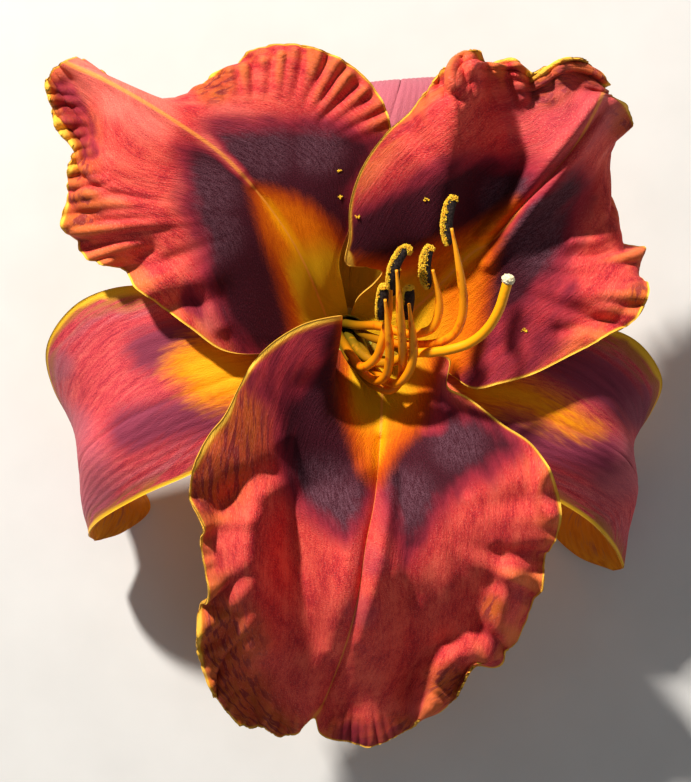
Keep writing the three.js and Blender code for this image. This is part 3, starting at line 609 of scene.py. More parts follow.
# Petals. Three broad inner tepals with ruffled, gold-edged margins, coral red with an aubergine eye and an
# orange throat. Each is one blade on its net of long lines, raised and folded along the strokes below. A
# ruffle has its waves and their height on the left and on the right margin, and the share where it starts.
PETAL_CLAW_RADIUS = 4
PETAL_GRID = (215, 225)
PETALS = {
    "petal_upper_left": {
        "azimuth": 132,
        "span": 86,
        "narrowing": 0.08,
        "ruffle": {"left": (9, 1.7), "right": (11, 0.5), "from": 0.34},
        "lines": {
            -1: [
                (-1, 9.6, 31.5), (-1.8, 14.6, 35), (0.4, 21.4, 37.5), (4.8, 30.8, 40), (8.6, 40.8, 42),
                (4, 50.5, 44), (-5.2, 56.3, 45.5), (-15.6, 57.4, 45), (-26.6, 51.3, 42), (-35.2, 44.6, 35),
                (-44.6, 47.6, 32), (-50.4, 52.4, 35),
            ],
            -0.5: [
                (-4, 9.8, 32.5), (-5.6, 18.4, 38), (-7.2, 28.4, 42), (-9.6, 38.4, 44), (-17.2, 44.4, 45.5),
                (-26.6, 46.2, 45.5), (-36.6, 46, 44), (-45.4, 49, 41.5), (-54, 55.2, 38),
            ],
            0: [
                (-6.4, 9, 32), (-9.6, 17, 37.5), (-15.2, 25, 41.5), (-23.2, 33.4, 45), (-32.6, 41.6, 47.5),
                (-41.6, 47, 47.5), (-49, 50.8, 45), (-56.8, 54.6, 40),
            ],
            0.5: [
                (-9, 4, 31), (-15.2, 9.4, 36.5), (-23.2, 15.4, 42), (-31.5, 21.3, 45.5), (-40.5, 28.3, 47),
                (-47.9, 36.3, 46.4), (-53.6, 44.4, 41), (-59.2, 53.2, 38.5),
            ],
            1: [
                (-8.6, -2.6, 30), (-17.2, -4.2, 34.5), (-25.3, -3.6, 38), (-31.8, 0.9, 39),
                (-39.9, 6.9, 39.5), (-47.4, 13.3, 39), (-53.8, 15.9, 38), (-56.7, 20.9, 38.5),
                (-57.1, 26.9, 40), (-54.8, 34.4, 41), (-59.6, 43.4, 38), (-61.4, 50, 38.5),
            ],
        },
    },
    "petal_upper_right": {
        "azimuth": 40,
        "span": 84,
        "narrowing": 0.22,
        "ruffle": {"left": (9, 1.8), "right": (8, 1.6), "from": 0.4},
        "lines": {
            -1: [
                (10, -2.4, 30.5), (16, -5, 34.5), (21.6, -9, 38), (25.4, -11.4, 41), (30.4, -10.4, 42),
                (36.8, -8.6, 42), (43.4, -5.4, 41), (51.3, -1.2, 41), (58.4, 3.3, 40.5), (60.5, 9.2, 38),
                (59.1, 14.4, 32), (56.2, 18.9, 28.5), (53, 25.6, 27.5), (51.2, 31.6, 28),
                (51.7, 36.5, 30.5),
            ],
            -0.5: [
                (9.6, 1.4, 31), (18.4, 2.8, 37), (30.4, 8.4, 41.5), (40.5, 16.5, 39.5), (48.7, 26.6, 34.5),
                (52.3, 36.7, 35), (57, 42.4, 33),
            ],
            -0.25: [
                (10, 3.2, 32), (18.4, 6.6, 37.4), (29.4, 13.6, 42), (39, 22.4, 42.6), (46.6, 32, 41.5),
                (51.4, 40.6, 41), (56.6, 45.8, 36),
            ],
            0: [
                (10.2, 5, 32.5), (18.4, 10.4, 37.5), (28.4, 18.6, 42), (37.4, 28.4, 45.5),
                (44.6, 37.6, 48.5), (49.8, 44.8, 47.5), (53.8, 47, 40),
            ],
            0.33: [
                (7.6, 6.6, 32), (14.6, 12.6, 37), (22, 19.4, 40.5), (28, 26.6, 42.5), (32, 34.2, 44.5),
                (34.4, 41, 45.5), (39, 46, 46), (45.8, 48.4, 43.5), (52.6, 47.8, 38.6),
            ],
            0.66: [
                (5, 7.6, 31.5), (11.2, 12, 38), (16.8, 17.4, 44.5), (18.8, 25.4, 50), (20.2, 34.4, 54.5),
                (21.4, 43, 57), (23.4, 50, 56), (30, 51, 50.5), (36.4, 49, 47.5), (43.4, 52, 46),
                (48.6, 51, 42.5), (51.6, 48.2, 38.2),
            ],
            1: [
                (2, 7.2, 30.5), (5.4, 10.2, 36.5), (6.8, 12.4, 41), (4, 13, 44.5), (-0.4, 13.6, 46.5),
                (0.2, 18.8, 49), (0.4, 25.4, 51.5), (2.8, 32.4, 54), (7.2, 38.8, 55), (13.2, 44.4, 55.5),
                (16.6, 48.6, 55.5), (18.8, 52.2, 55.5), (23, 54.6, 53.5), (28, 53.2, 51), (33, 54.2, 49.5),
                (36, 51.4, 47.5), (40.4, 53.4, 46.5), (45.6, 55.2, 46), (50.6, 52.4, 41), (50.6, 48.8, 38),
            ],
        },
    },
    "petal_lower": {
        "azimuth": 265,
        "span": 86,
        "narrowing": 0.03,
        "notch": 0.047,
        "ruffle": {"left": (9, 1.8), "right": (10, 1.6), "from": 0.4},
        "lines": {
            -1: [
                (-6, -2.6, 31), (-5.2, 1.4, 40), (-1.4, 3.2, 50), (-9, 1.4, 52.5), (-16.6, -3.6, 51.5),
                (-21, -9.6, 48.5), (-24.6, -16.6, 48), (-30.2, -24.6, 48), (-31.5, -31.5, 46),
                (-29.5, -40.5, 43.5), (-28.6, -51.7, 39.5), (-31, -62.2, 31), (-27.9, -73.8, 22),
                (-23.5, -80.1, 17.5),
            ],
            -0.5: [
                (-2.6, -8.6, 31), (-2.6, -13.6, 40), (-5.2, -19.6, 45), (-9.6, -27.6, 42.5),
                (-12.6, -39.6, 38.5), (-13.7, -51.8, 35.5), (-14.7, -64, 26.5), (-16.2, -74.8, 18.5),
                (-12.8, -83.4, 12.5),
            ],
            0: [
                (2.9, -12.7, 31.5), (5.8, -21.6, 38), (5.6, -31.6, 42.5), (3.6, -42.6, 44.5),
                (1.6, -53.6, 42), (-1.2, -63.9, 34), (-4.6, -73.2, 24.5), (-8.4, -82.4, 14.8),
            ],
            0.5: [
                (6.4, -8.4, 31), (11.4, -12.4, 35.5), (15.4, -17, 40), (19.4, -24.6, 43.5),
                (21.4, -35.6, 45.5), (20.4, -47.7, 43), (16.5, -60, 34.5), (10.5, -72.8, 24),
                (4.9, -85.2, 14),
            ],
            1: [
                (6.6, -4.6, 30), (12, -4.8, 35.5), (16.6, -4.6, 40), (20.4, -5.4, 42), (20, -10.8, 41.5),
                (24, -13, 41.5), (31, -18.4, 43.5), (37, -22.6, 46), (41.2, -29.6, 46), (42.5, -36.7, 45),
                (40, -46.2, 40.5), (37.7, -55.3, 35), (32.7, -64, 30), (26.2, -68.9, 29),
                (22.6, -73.4, 28), (18.8, -77.4, 25),
            ],
        },
    },
}
# Folds that stand up from a petal or sink into it: height and half-width in millimetres, and their line.
FOLDS = {
    "petal_upper_left": [
        (2.0, 3.5, [(-40.4, 6), (-33.6, 8.8), (-28, 11.2)]),
        (-3.4, 3.0, [(-55.6, 49.6), (-52.8, 44), (-51.6, 36.4)]),
        (0.8, 2.4, [(-56.4, 20.4), (-45.6, 22), (-37.6, 23.2)]),
        (-2.4, 2.4, [(-37.2, 4.8), (-32.8, 6.6), (-29.6, 6.4)]),
        (0.7, 1.3, [(-56.4, 54), (-49.6, 50.8), (-41.6, 46.4), (-33.6, 41.4), (-25.6, 35.8), (-21.6, 32)]),
        (-0.7, 1.0, [(-18.6, 28.4), (-13.6, 22), (-9.6, 15.4), (-6.6, 9.4), (-4.6, 3.4)]),
        (-2.8, 1.9, [(-44.8, 14), (-39.6, 16.4)]),
        (1.4, 1.8, [(-28.4, 6.8), (-26.8, 3.6), (-25.6, 1.2)]),
        (0.8, 3.2, [(-58.4, 50.4), (-51.6, 46.8), (-43.6, 42.4), (-36, 37.6)]),
    ],
    "petal_upper_right": [
        (2.0, 4.0, [(18, 19.4), (18.8, 28.4), (20.4, 38.4), (22, 47.4), (22.8, 52.4)]),
        (-3.0, 4.0, [(31.2, 48.8), (32.8, 40.8), (34, 34.4), (29.6, 27.2)]),
        (-1.6, 4.5, [(42.4, 25.4), (50, 36.4)]),
        (1.5, 2.4, [(45.2, 8), (52.8, 8.4), (59.4, 8)]),
        (1.2, 1.8, [(32, 43.2), (34, 38)]),
        (1.6, 1.3, [(26.8, 19.2), (33.4, 26.8), (40, 34), (46.4, 41.6), (51, 48)]),
        (-1.6, 1.1, [(28.4, 17.6), (35.4, 25.6), (42.4, 33.4), (49.2, 42.8), (51.6, 46.4)]),
        (1.8, 1.3, [(28, 13.6), (32.4, 19.2), (38.4, 26.8), (44.4, 33.8), (50.8, 42)]),
        (1.0, 1.2, [(45, 18.4), (49.6, 18.4), (53.8, 20.2)]),
        (-1.0, 1.6, [(44.8, 15.2), (56.4, 14)]),
        (-1.2, 1.6, [(42.4, 0.4), (50.4, 2), (57.6, 5.2)]),
        (2.2, 1.3, [(33, 54), (34, 50.4), (35.2, 47.2)]),
        (-1.6, 1.3, [(36, 51.6), (36.8, 47.6)]),
        (1.8, 2.4, [(52, 50.8), (48.4, 48.4), (43.6, 47)]),
        (1.4, 1.3, [(39.4, 51.6), (40.4, 46.8)]),
        (1.4, 1.6, [(42.8, 53.2), (42.8, 48)]),
        (-2.2, 1.3, [(18.4, 50), (20, 47.8), (21.6, 47.2)]),
        (1.7, 1.3, [(19.6, 54), (20.4, 51.6), (21.6, 48)]),
        (-1.4, 0.9, [(22.6, 54.8), (23.6, 49.6)]),
        (1.7, 1.2, [(24.4, 54.4), (26, 47.2)]),
        (-1.2, 1.0, [(27.6, 53.2), (28.4, 47.2)]),
    ],
    "petal_lower": [
        (-5.6, 5.0, [(-12.4, -34.8), (-10.6, -44.8), (-7.6, -54.4), (-3.2, -65.6), (-2, -73.6)]),
        (5.8, 4.0, [(-16.8, -33.2), (-19.4, -41.6), (-19.6, -51.6), (-17.6, -62.6)]),
        (-2.6, 3.0, [(-26.8, -37.2), (-22, -31.6), (-15.6, -28.4)]),
        (-2.0, 4.2, [(-8.4, -12), (-8.8, -17.6), (-8, -23.6), (-6.4, -29.6)]),
        (-2.4, 3.8, [(12, -53.6), (13.2, -59.6), (11.6, -68)]),
        (4.5, 2.8, [(28.8, -64.8), (30.2, -56.8), (32.8, -49.2)]),
        (-2.0, 2.6, [(34.8, -61.6), (36.4, -54.4), (38, -46.8)]),
        (4.6, 3.0, [(16, -74.4), (17.2, -69.6), (20.8, -65.6), (24.4, -63.6)]),
        (2.2, 1.8, [(-18.8, -8), (-16.4, -14), (-13.2, -21.2)]),
        (1.1, 1.8, [(2.8, -28), (0.8, -39.6), (-1.2, -51.6), (-3.6, -63.6)]),
        (-1.4, 0.95, [(6.4, -21.6), (5.4, -33.6), (3.6, -42.6), (2, -53.6), (-0.6, -63.6), (-5.2, -74.4)]),
        (1.6, 1.6, [(8.8, -28), (7.6, -37.6), (5.6, -49.6), (2.8, -61.6)]),
        (-1.0, 2.0, [(10, -27.6), (11.2, -41.6), (12, -53.6)]),
        (0.7, 2.0, [(13.6, -23.6), (16, -33.6), (19.2, -45.6), (20.8, -53.6)]),
        (-1.6, 2.2, [(11.2, -71.6), (14, -66.4), (19.6, -61.2)]),
        (2.8, 1.8, [(39.6, -27.6), (38.4, -32.4), (40.8, -36.4)]),
        (0.9, 1.4, [(24.4, -33.6), (28.8, -41.6)]),
        (-0.8, 0.9, [(-28.8, -54.8), (-21.6, -55.6)]),
    ],
}
# Crimps of a margin: how many short folds, their height and half-width, and the first and the last of them,
# each from the margin inwards, where they fade.
CRIMPS = {
    "petal_upper_left": [
        (8, 1.2, 1.05, [(-30.4, 49.6), (-28, 44.8)], [(-7.2, 57.6), (-9.6, 47.2)]),
        (6, 1.5, 1.15, [(-4.8, 56.4), (-9.6, 44.8)], [(8.4, 43.2), (-2.8, 38.4)]),
        (5, 1.5, 1.0, [(-57.2, 24), (-48.8, 25.2), (-40.4, 25.4)],
         [(-52.8, 15.2), (-44.4, 17.2), (-36, 17.8)]),
        (7, 1.8, 0.95, [(-61.2, 48.8), (-54, 48)], [(-55.2, 34.8), (-49.2, 36.8)]),
        (3, 1.4, 1.0, [(-56.4, 32), (-48.4, 32.8)], [(-57.6, 26.4), (-45.6, 28.8)]),
    ],
    "petal_upper_right": [
        (4, 1.2, 1.0, [(58.4, 15.6), (48.4, 14)], [(60, 3.6), (48.4, 5.2)]),
        (4, 1.4, 0.8, [(30.4, 53.6), (31.6, 48)], [(42.4, 54), (42, 48)]),
    ],
    "petal_lower": [
        (7, 0.9, 0.8, [(-22.4, -79.6), (-18.4, -73.6)], [(-8.4, -81.2), (-8.4, -73.6)]),
        (10, 0.9, 0.75, [(-4.4, -82), (-2, -74.8)], [(12.8, -81.6), (9.6, -73.6)]),
        (6, 1.1, 0.9, [(-30.4, -61.6), (-24.4, -59.6)], [(-25.2, -76.4), (-21.6, -71.6)]),
        (4, 0.5, 0.8, [(-30.4, -51.6), (-25.2, -50.4)], [(-29.6, -43.2), (-25.2, -44)]),
        (4, 1.2, 0.9, [(40.8, -45.6), (35.2, -46.8)], [(37.2, -57.2), (32, -54)]),
        (6, 1.1, 0.8, [(19.6, -75.2), (15.2, -72)], [(26.8, -68), (22.8, -63.6)]),
    ],
}
# The outlines of the dark eye and of the orange throat, as seen from above.
EYES = {
    "petal_upper_left": [
        (-34.4, 37.2), (-33.2, 26.4), (-30.8, 17.4), (-28.8, 8.4), (-24.4, -0.6), (-17.2, -7.2), (-9.6, -7.2),
        (0.8, 6.4), (0.8, 16.4), (2.8, 28.4), (7.6, 38.4), (0.8, 42), (-9.6, 43.2), (-19.6, 42.4),
        (-27.2, 42.8),
    ],
    "petal_upper_right": [
        (-1.6, 23.6), (4.8, 26.8), (11.6, 30.4), (18.4, 34.4), (26.4, 35.6), (34.4, 35.2), (40.4, 32.8),
        (46.4, 33.6), (48, 28.4), (45.2, 21.2), (43.6, 14), (42.4, 4.4), (39.2, -4), (30.4, -10.4),
        (22.8, -12), (18.4, 0.4), (14.4, 11.4), (-1.6, 10.4),
    ],
    "petal_lower": [
        (-20.4, -4), (-11.6, 2), (-1.4, 4), (14.4, -1.6), (18.4, -12.8), (30.4, -17.6), (35.2, -22.8),
        (30, -28), (22, -32.8), (16.4, -40.4), (11.6, -46.8), (8.8, -41.6), (6.4, -33.6), (4, -37.6),
        (0.4, -41.6), (-6, -38.4), (-12, -32), (-14.4, -23.6), (-15.6, -13.6), (-19.2, -9.6),
    ],
}
THROATS = {
    "petal_upper_left": [
        (-19.6, 29.2), (-17.2, 20), (-14, 11.2), (-11.6, 2.4), (-10.4, -5.6), (6.4, -5.6), (4.8, 12.4),
        (-0.4, 17.2), (-4.4, 22.4), (-8.8, 26), (-14.4, 28),
    ],
    "petal_upper_right": [
        (8.8, 14), (16.8, 17.6), (24.4, 20.8), (31.6, 24.8), (34.4, 26.4), (30.8, 20), (28.8, 14), (28, 7.2),
        (26.4, -1.6), (22.4, -8), (2.4, -8), (0, 14),
    ],
    "petal_lower": [
        (-1.2, 6.4), (-1.4, -13.6), (0.4, -21.2), (2.8, -27.2), (5.6, -30.8), (8, -26.8), (10.8, -22.8),
        (14.4, -19.2), (16.8, -12), (18.4, -3.6), (10.4, 6.4),
    ],
}
# Where the golden margin is wider: x, y, how far along the margin that goes and how wide it gets.
GOLDEN = {
    "petal_upper_left": [
        (-58.8, 44, 6, 1.8), (-54.6, 33.4, 6, 2.4), (-55.2, 25.4, 5, 1.4), (-26.6, 51.2, 6, 1.4),
    ],
    "petal_upper_right": [
        (-0.2, 14, 2, 2.2), (0.4, 22.4, 7, 0.6), (39.4, 50.4, 4, 1.6), (54.4, 42.4, 4, 1.2),
    ],
    "petal_lower": [
        (-20.6, -6.6, 5, 1.0), (-15.6, -0.6, 7, 1.3), (-6, 2.8, 7, 1.3), (-28.6, -19.6, 8, 1.5),
        (-30.8, -37.6, 6, 0.9), (-30, -63.6, 8, 1.5), (-21.6, -79.2, 7, 1.1), (18.4, -76.6, 7, 0.9),
        (40.4, -33.6, 6, 0.9),
    ],
}
# Where the red turns to tan-orange towards a margin: x, y and how far it spreads.
TANS = {
    "petal_upper_left": [
        (-56.4, 46.4, 4), (-54.8, 40.4, 5), (-53.6, 33.4, 4), (-53.2, 24, 4), (-26.6, 49.6, 4),
    ],
    "petal_upper_right": [(40, 49.6, 5), (48.4, 52.4, 4), (55.4, 42.8, 4), (58.4, 7.2, 2.5)],
    "petal_lower": [
        (-23.2, -18.6, 9), (-27.2, -27.6, 9), (-25.2, -61.6, 8), (-23.2, -73.6, 8), (-15.6, -80.6, 6),
        (0.4, -81.2, 4), (10.4, -80.6, 4), (28.8, -54.8, 2.5), (19.8, -70, 4),
    ],
}
# Where painted sheen lies on the velvet, grey on the dark eye and rose on the red: x, y and how far it
# spreads.
PAINTED_SHEENS = {
    "petal_upper_left": [
        (-23.2, 39.2, 6), (-17.2, 36.8, 6), (-6, 36.8, 5), (-28, 28.4, 6), (-26.4, 19.4, 5), (-52.8, 50.8, 5),
        (-45.6, 47.2, 5), (-39.6, 43.2, 5), (-27.2, 3.2, 3),
    ],
    "petal_upper_right": [
        (40.8, 27.2, 7), (39.2, 18.4, 7), (30, 27.2, 4), (36.4, 42.8, 7), (42.8, 44, 8), (48.8, 44.8, 6),
        (40, 37.2, 5),
    ],
    "petal_lower": [
        (-6, -30.8, 6), (-1.2, -34.8, 5), (11.2, -33.6, 6), (22, -22.4, 5), (19.6, -10.6, 4), (4.8, -45.6, 3),
        (2.8, -55.6, 3),
    ],
}
# Where a petal is wine-red, inside the eye or outside it, and where wine is painted shade: x, y, how far it
# spreads, and how deep it is.
WINES_AND_PAINTED_SHADE = {
    "petal_upper_left": [
        # The four spots on the left flap, x about -52 to -56, are partly its maroon and partly painted shade
        # of its folds.
        (-30.4, 6.4, 4, 0.6), (-56.4, 48, 3.5, 0.6), (-54.8, 44, 3.5, 0.8), (-53.2, 40, 3.5, 0.6),
        (-51.6, 36, 2.5, 0.4), (-9.6, 52.8, 5, -2.2), (-0.6, 50.8, 6, -2), (5.2, 44.4, 4, -1.6),
    ],
    "petal_upper_right": [(35.2, 0.4, 8, 0.6), (41.6, 6.4, 6, 0.6), (29.6, -6.8, 5, 0.6)],
    "petal_lower": [
        # The two spots at the tip, near y = -81, are painted shade.
        (-11.2, -5.2, 8, 0.6), (-15.6, -8, 5, 0.6), (16.4, -17.6, 4, 0.6), (0.8, -81.6, 5, 0.8),
        (7.4, -80.6, 4, 0),
    ],
}
# The midribs, as seen from above, and how far the eye gives way to wine along them.
RIB_STRIPE = {"petal_upper_left": 1.5, "petal_upper_right": 2.5, "petal_lower": 1.5}
RIB_STRIPE_HALF_WIDTH = 1.8
RIBS = {
    "petal_upper_left": [
        (-57.6, 54.4), (-49.6, 50.8), (-41.6, 46.4), (-33.6, 41.4), (-25.6, 35.8), (-17.6, 27.4), (-13.6, 22),
        (-9.6, 15.4), (-4.6, 3.4),
    ],
    "petal_upper_right": [
        (10.4, 2), (16.4, 7.2), (24.4, 15.4), (30.4, 19.4), (36.4, 26.8), (44.4, 36), (51, 48),
    ],
    "petal_lower": [
        (7.2, -9.6), (6.6, -19.6), (6, -27.6), (5.4, -33.6), (3.6, -42.6), (2, -53.6), (-0.6, -63.6),
        (-5.2, -74.6), (-7, -77.2),
    ],
}
# The petal whose painted sheen is salmon and not rose.
SALMON = {"petal_upper_left": 1.0}
EYE_FLOOR = -6
# The golden margin: its width at the claw, what it gains further out, and where and over which length.
GOLD_AT_CLAW, GOLD_GAIN, GOLD_FROM, GOLD_RUN = 0.02, 0.5, 20, 9
# The ruffle: where its waves fan out from, what the tip adds to a margin's length, the runs over which it
# wakes and ends, how it keeps to the margin, and the share, rate and start of a second wave on the first.
FAN_CENTRE, TIP_SHARE = 0.3, 0.3
RUFFLE_START, RUFFLE_END, RUFFLE_STEEPNESS = 0.25, 0.35, 5
SECOND_WAVE = (0.45, 1.62, 1.1)
# The finest crimps of a margin: their height, how far inwards they fade, and for each wave its share, its
# rate, how far it sways and how fast.
FINE_CRIMP_HEIGHT, FINE_CRIMP_FADE = 0.3, 2.2
FINE_CRIMPS = [(1, 150, 2.4, 31), (0.6, 263, 1.7, 47)]
# The longer crimps: how far one strays from its even place, the ranges of their heights and widths, the
# valleys between them, and how steeply they fade inwards.
CRIMP_STRAY, CRIMP_VALLEY, CRIMP_FADE = 0.35, -0.6, 0.7
CRIMP_HEIGHTS, CRIMP_WIDTHS = (0.6, 1.2), (0.75, 1.2)


def ruffle(tepal, u, v):
    """How far a ruffled margin stands off the blade, the place along the margin that each point fans to, and
    how far the ruffle has woken there."""
    reach = (u - FAN_CENTRE) / (1 - FAN_CENTRE)
    side = np.abs(v)
    rim = np.maximum(reach, side)
    around = np.where(reach > 0, FAN_CENTRE + (1 - FAN_CENTRE) * reach / np.maximum(side, 1e-6), u)
    along = np.where(reach > side, 1 + TIP_SHARE * (1 - side / np.maximum(reach, 1e-6)), around)
    frill = tepal["ruffle"]
    waves, depth = (np.where(v > 0, left, right) for left, right in zip(frill["left"], frill["right"]))
    awake = smooth((along - frill["from"]) / RUFFLE_START) * smooth((1 + TIP_SHARE - along) / RUFFLE_END)
    turns = 2 * math.pi * waves * along
    share, rate, start = SECOND_WAVE
    wave = np.sin(turns) + share * np.sin(rate * turns + start)
    return depth * awake * rim**RUFFLE_STEEPNESS * wave, along, awake


def petal_finish():
    """Velvet skin, from the ground up: coral red, painted lighter on crests and darker in hollows as light
    and shade, with tan, painted rose sheen and glints, wine and then aubergine with painted grey sheen by
    how deep a place lies in the eye, the orange throat, the rib and the gold margin. The reverse is
    orange-gold."""
    velvet = Finish(
        "petal_velvet", Roughness=0.6, Specular_IOR_Level=0.08, Sheen_Weight=0.03, Sheen_Roughness=0.35,
    )
    velvet.shader.inputs["Sheen Tint"].default_value = (1, 0.62, 0.72, 1)
    along, across, rim = velvet.carried("place")
    eye, throat, gold = velvet.carried("zones")
    rib, painted_sheen, crest = velvet.carried("marks")
    tan, salmon, _ = velvet.carried("stain")
    face, _, _ = velvet.carried("skin")
    streak = velvet.noise(velvet.point(along * 0.08, across * 0.6), 1.0, 3.0)
    fine = velvet.noise(velvet.point(along * 0.6, across * 2.0), 1.0, 3.0)
    blotch = velvet.noise(velvet.point(along * 0.15, across * 0.22), 1.0, 3.0)
    grain = velvet.noise(velvet.point(along, across), 4.2, 3.0)
    tone = streak * 0.15 + fine * 0.2 + blotch * 0.3 + grain * 0.35
    body = velvet.shades(
        tone, (0.40, (0.40, 0.018, 0.030)), (0.48, (0.69, 0.050, 0.046)), (0.58, (0.90, 0.125, 0.080)),
    )
    # Painted light and shade: crests of the ruffles and crimps are painted lighter orange as if lit, and
    # their hollows darker as if shaded.
    body = velvet.mix(crest.step(0.25, 1.3) * 0.6, body, (0.90, 0.23, 0.05))
    body = velvet.mix(crest.step(-0.3, -1.2) * 0.55, body, (0.30, 0.020, 0.035))
    body = velvet.mix(rim.step(6.0, 1.0) * blotch.step(0.42, 0.6) * 0.6, body, (0.80, 0.17, 0.04))
    body = velvet.mix(tan * (0.65 + (grain - 0.5) * 1.4 + (blotch - 0.5) * 1.2), body, (0.52, 0.105, 0.016))
    marks = velvet.noise(velvet.point(along * 0.8, across), 0.42, 2.0)
    body = velvet.mix(tan * marks.step(0.50, 0.60) * 0.75, body, (0.20, 0.016, 0.03))
    # Painted sheen: rose, or salmon on one petal, where the velvet's sheen catches the light on the red.
    rose_sheen = velvet.mix(salmon, (0.46, 0.062, 0.085), (0.92, 0.22, 0.16))
    body = velvet.mix(painted_sheen * (0.1 + grain * 0.8 + (streak - 0.5) * 0.8), body, rose_sheen)
    # Painted glints: fine pale specks of light on the velvet, over the red here and over the eye below.
    painted_glint = velvet.noise(velvet.point(along, across), 2.6, 2.0).step(0.54, 0.72)
    body = velvet.mix(painted_glint * 0.25, body, (1.0, 0.36, 0.26))
    wine = velvet.shades(fine * 0.4 + grain * 0.6, (0.36, (0.17, 0.010, 0.022)), (0.62, (0.38, 0.028, 0.05)))
    depth = eye + (streak - 0.5) * 2.5 + (fine - 0.5) * 1.5 + (grain - 0.5) * 3.5 + (blotch - 0.5) * 6.0
    dusk = velvet.mix(depth.step(-3.0, 1.6), body, wine)
    aubergine = velvet.shades(grain, (0.36, (0.032, 0.004, 0.008)), (0.62, (0.075, 0.009, 0.018)))
    # Painted sheen on the eye: grey patches over the aubergine where the velvet's sheen catches the light.
    sheen_texture = grain * 0.7 + fine * 0.3
    grey_sheen = velvet.shades(sheen_texture, (0.40, (0.045, 0.008, 0.016)), (0.60, (0.165, 0.068, 0.092)))
    aubergine = velvet.mix(painted_sheen * (0.25 + fine * 0.8) + painted_glint * 0.25, aubergine, grey_sheen)
    dusk = velvet.mix(depth.step(0.0, 4.5), dusk, aubergine)
    opening = throat + (streak - 0.5) * 1.8 + (fine - 0.5) * 1.2 + (grain - 0.5) * 1.8
    rust = velvet.mix(opening.step(-2.4, 1.0), dusk, (0.44, 0.050, 0.002))
    flow = fine * 0.5 + grain * 0.5
    amber = velvet.shades(flow, (0.36, (0.64, 0.115, 0.0005)), (0.64, (0.84, 0.20, 0.001)))
    warm = velvet.mix(opening.step(-0.6, 3.6), rust, amber)
    warm = velvet.mix(opening.step(0.6, 3.2) * rib.step(1.9, 0.5) * 0.85, warm, (0.96, 0.37, 0.001))
    warm = velvet.mix(along.step(24.0, 15.0) * opening.step(0.6, 3.4), warm, (0.70, 0.35, 0.005))
    line = velvet.mix(rib.step(0.45, 0.12) * (0.4 + fine * 0.5), warm, (0.92, 0.34, 0.05))
    edge = velvet.mix(gold.step(1.5, 0.6) * (0.4 + blotch * 0.6), line, (0.70, 0.22, 0.012))
    edge = velvet.mix(gold.step(0.9, 0.5) * (0.45 + blotch * 0.9), edge, (1.0, 0.56, 0.06))
    reverse = velvet.shades(streak, (0.35, (0.58, 0.26, 0.02)), (0.6, (0.74, 0.38, 0.04)))
    blush = velvet.mix(streak.step(0.42, 0.62) * rim.step(0.5, 6.0) * 0.8, reverse, (0.50, 0.10, 0.07))
    velvet.feed("Base Color", velvet.mix(face.step(0.4, 0.6), blush, edge))
    velvet.feed("Roughness", 0.5 + grain * 0.3)
    vein = velvet.noise(velvet.point(along * 0.1, across * 1.5), 1.0, 2.0)
    velvet.relief(vein * 0.5 + fine * 0.2 + grain * 0.6, 0.0004)
    return velvet


petal_velvet = petal_finish()
petal_grids = []
CRIMP_SEED = 5
draw = random.Random(CRIMP_SEED)
for name, tepal in PETALS.items():
    grid, u, v = net_surface(tepal, PETAL_CLAW_RADIUS, *PETAL_GRID)
    lift, margin, awake = ruffle(tepal, u, v)
    rim, along, across = rim_distance(grid)
    crimp = sum(
        part * np.sin(margin * rate + sway * np.sin(margin * slow)) for part, rate, sway, slow in FINE_CRIMPS
    )
    lift = lift + FINE_CRIMP_HEIGHT * awake * np.exp(-rim / FINE_CRIMP_FADE) * crimp
    grid = grid + normals_of(grid) * lift[..., None]
    places = seen(grid)
    raised = np.zeros(u.shape)
    for height, width, line in FOLDS[name]:
        raised += height * np.exp(-((distance_to(line, places)[0] / width) ** 2))
    crest = lift.copy()
    for count, height, width, first, last in CRIMPS[name]:
        first, last = np.array(first), np.array(last)
        for k in range(2 * count - 1):
            share = (k + draw.uniform(-CRIMP_STRAY, CRIMP_STRAY)) / (2 * count - 2)
            gap, inward, _ = distance_to(first * (1 - share) + last * share, places)
            size = height * draw.uniform(*CRIMP_HEIGHTS) * (CRIMP_VALLEY if k % 2 else 1)
            ridge = np.exp(-((gap / (width * draw.uniform(*CRIMP_WIDTHS))) ** 2))
            crest += size * (1 - inward) ** CRIMP_FADE * ridge
    grid[..., 2] += raised + crest - lift
    reach = GOLD_AT_CLAW + GOLD_GAIN * smooth((along - GOLD_FROM) / GOLD_RUN)
    for x, y, radius, width in GOLDEN[name]:
        reach = np.maximum(reach, width * patch(places, x, y, radius, GOLD_PLATEAU))
    # Spread the painted sheen spots and the tan spots over the petal.
    painted_sheen, tan = np.zeros(u.shape), np.zeros(u.shape)
    for layer, spots in ((painted_sheen, PAINTED_SHEENS[name]), (tan, TANS[name])):
        for spot in spots:
            np.maximum(layer, patch(places, *spot), out=layer)
    eye, throat = np.maximum(zone(EYES[name], places), EYE_FLOOR), zone(THROATS[name], places)
    for x, y, radius, level in WINES_AND_PAINTED_SHADE[name]:
        eye = eye + (level - eye) * patch(places, x, y, radius)
    rib, _, _ = distance_to(RIBS[name], places)
    stripe = np.exp(-((rib / RIB_STRIPE_HALF_WIDTH) ** 2))
    eye = eye - np.maximum(eye + RIB_STRIPE[name], 0) * stripe
    carried = {
        "place": np.stack([along, across, rim], axis=2),
        "zones": np.stack([eye, throat, rim / reach], axis=2),
        "marks": np.stack([rib, painted_sheen, crest], axis=2),
        "stain": np.stack([tan, np.full(u.shape, SALMON.get(name, 0.0)), np.zeros(u.shape)], axis=2),
    }
    petal_grids.append(grid)
    blade(name, grid, petal_velvet, carried)


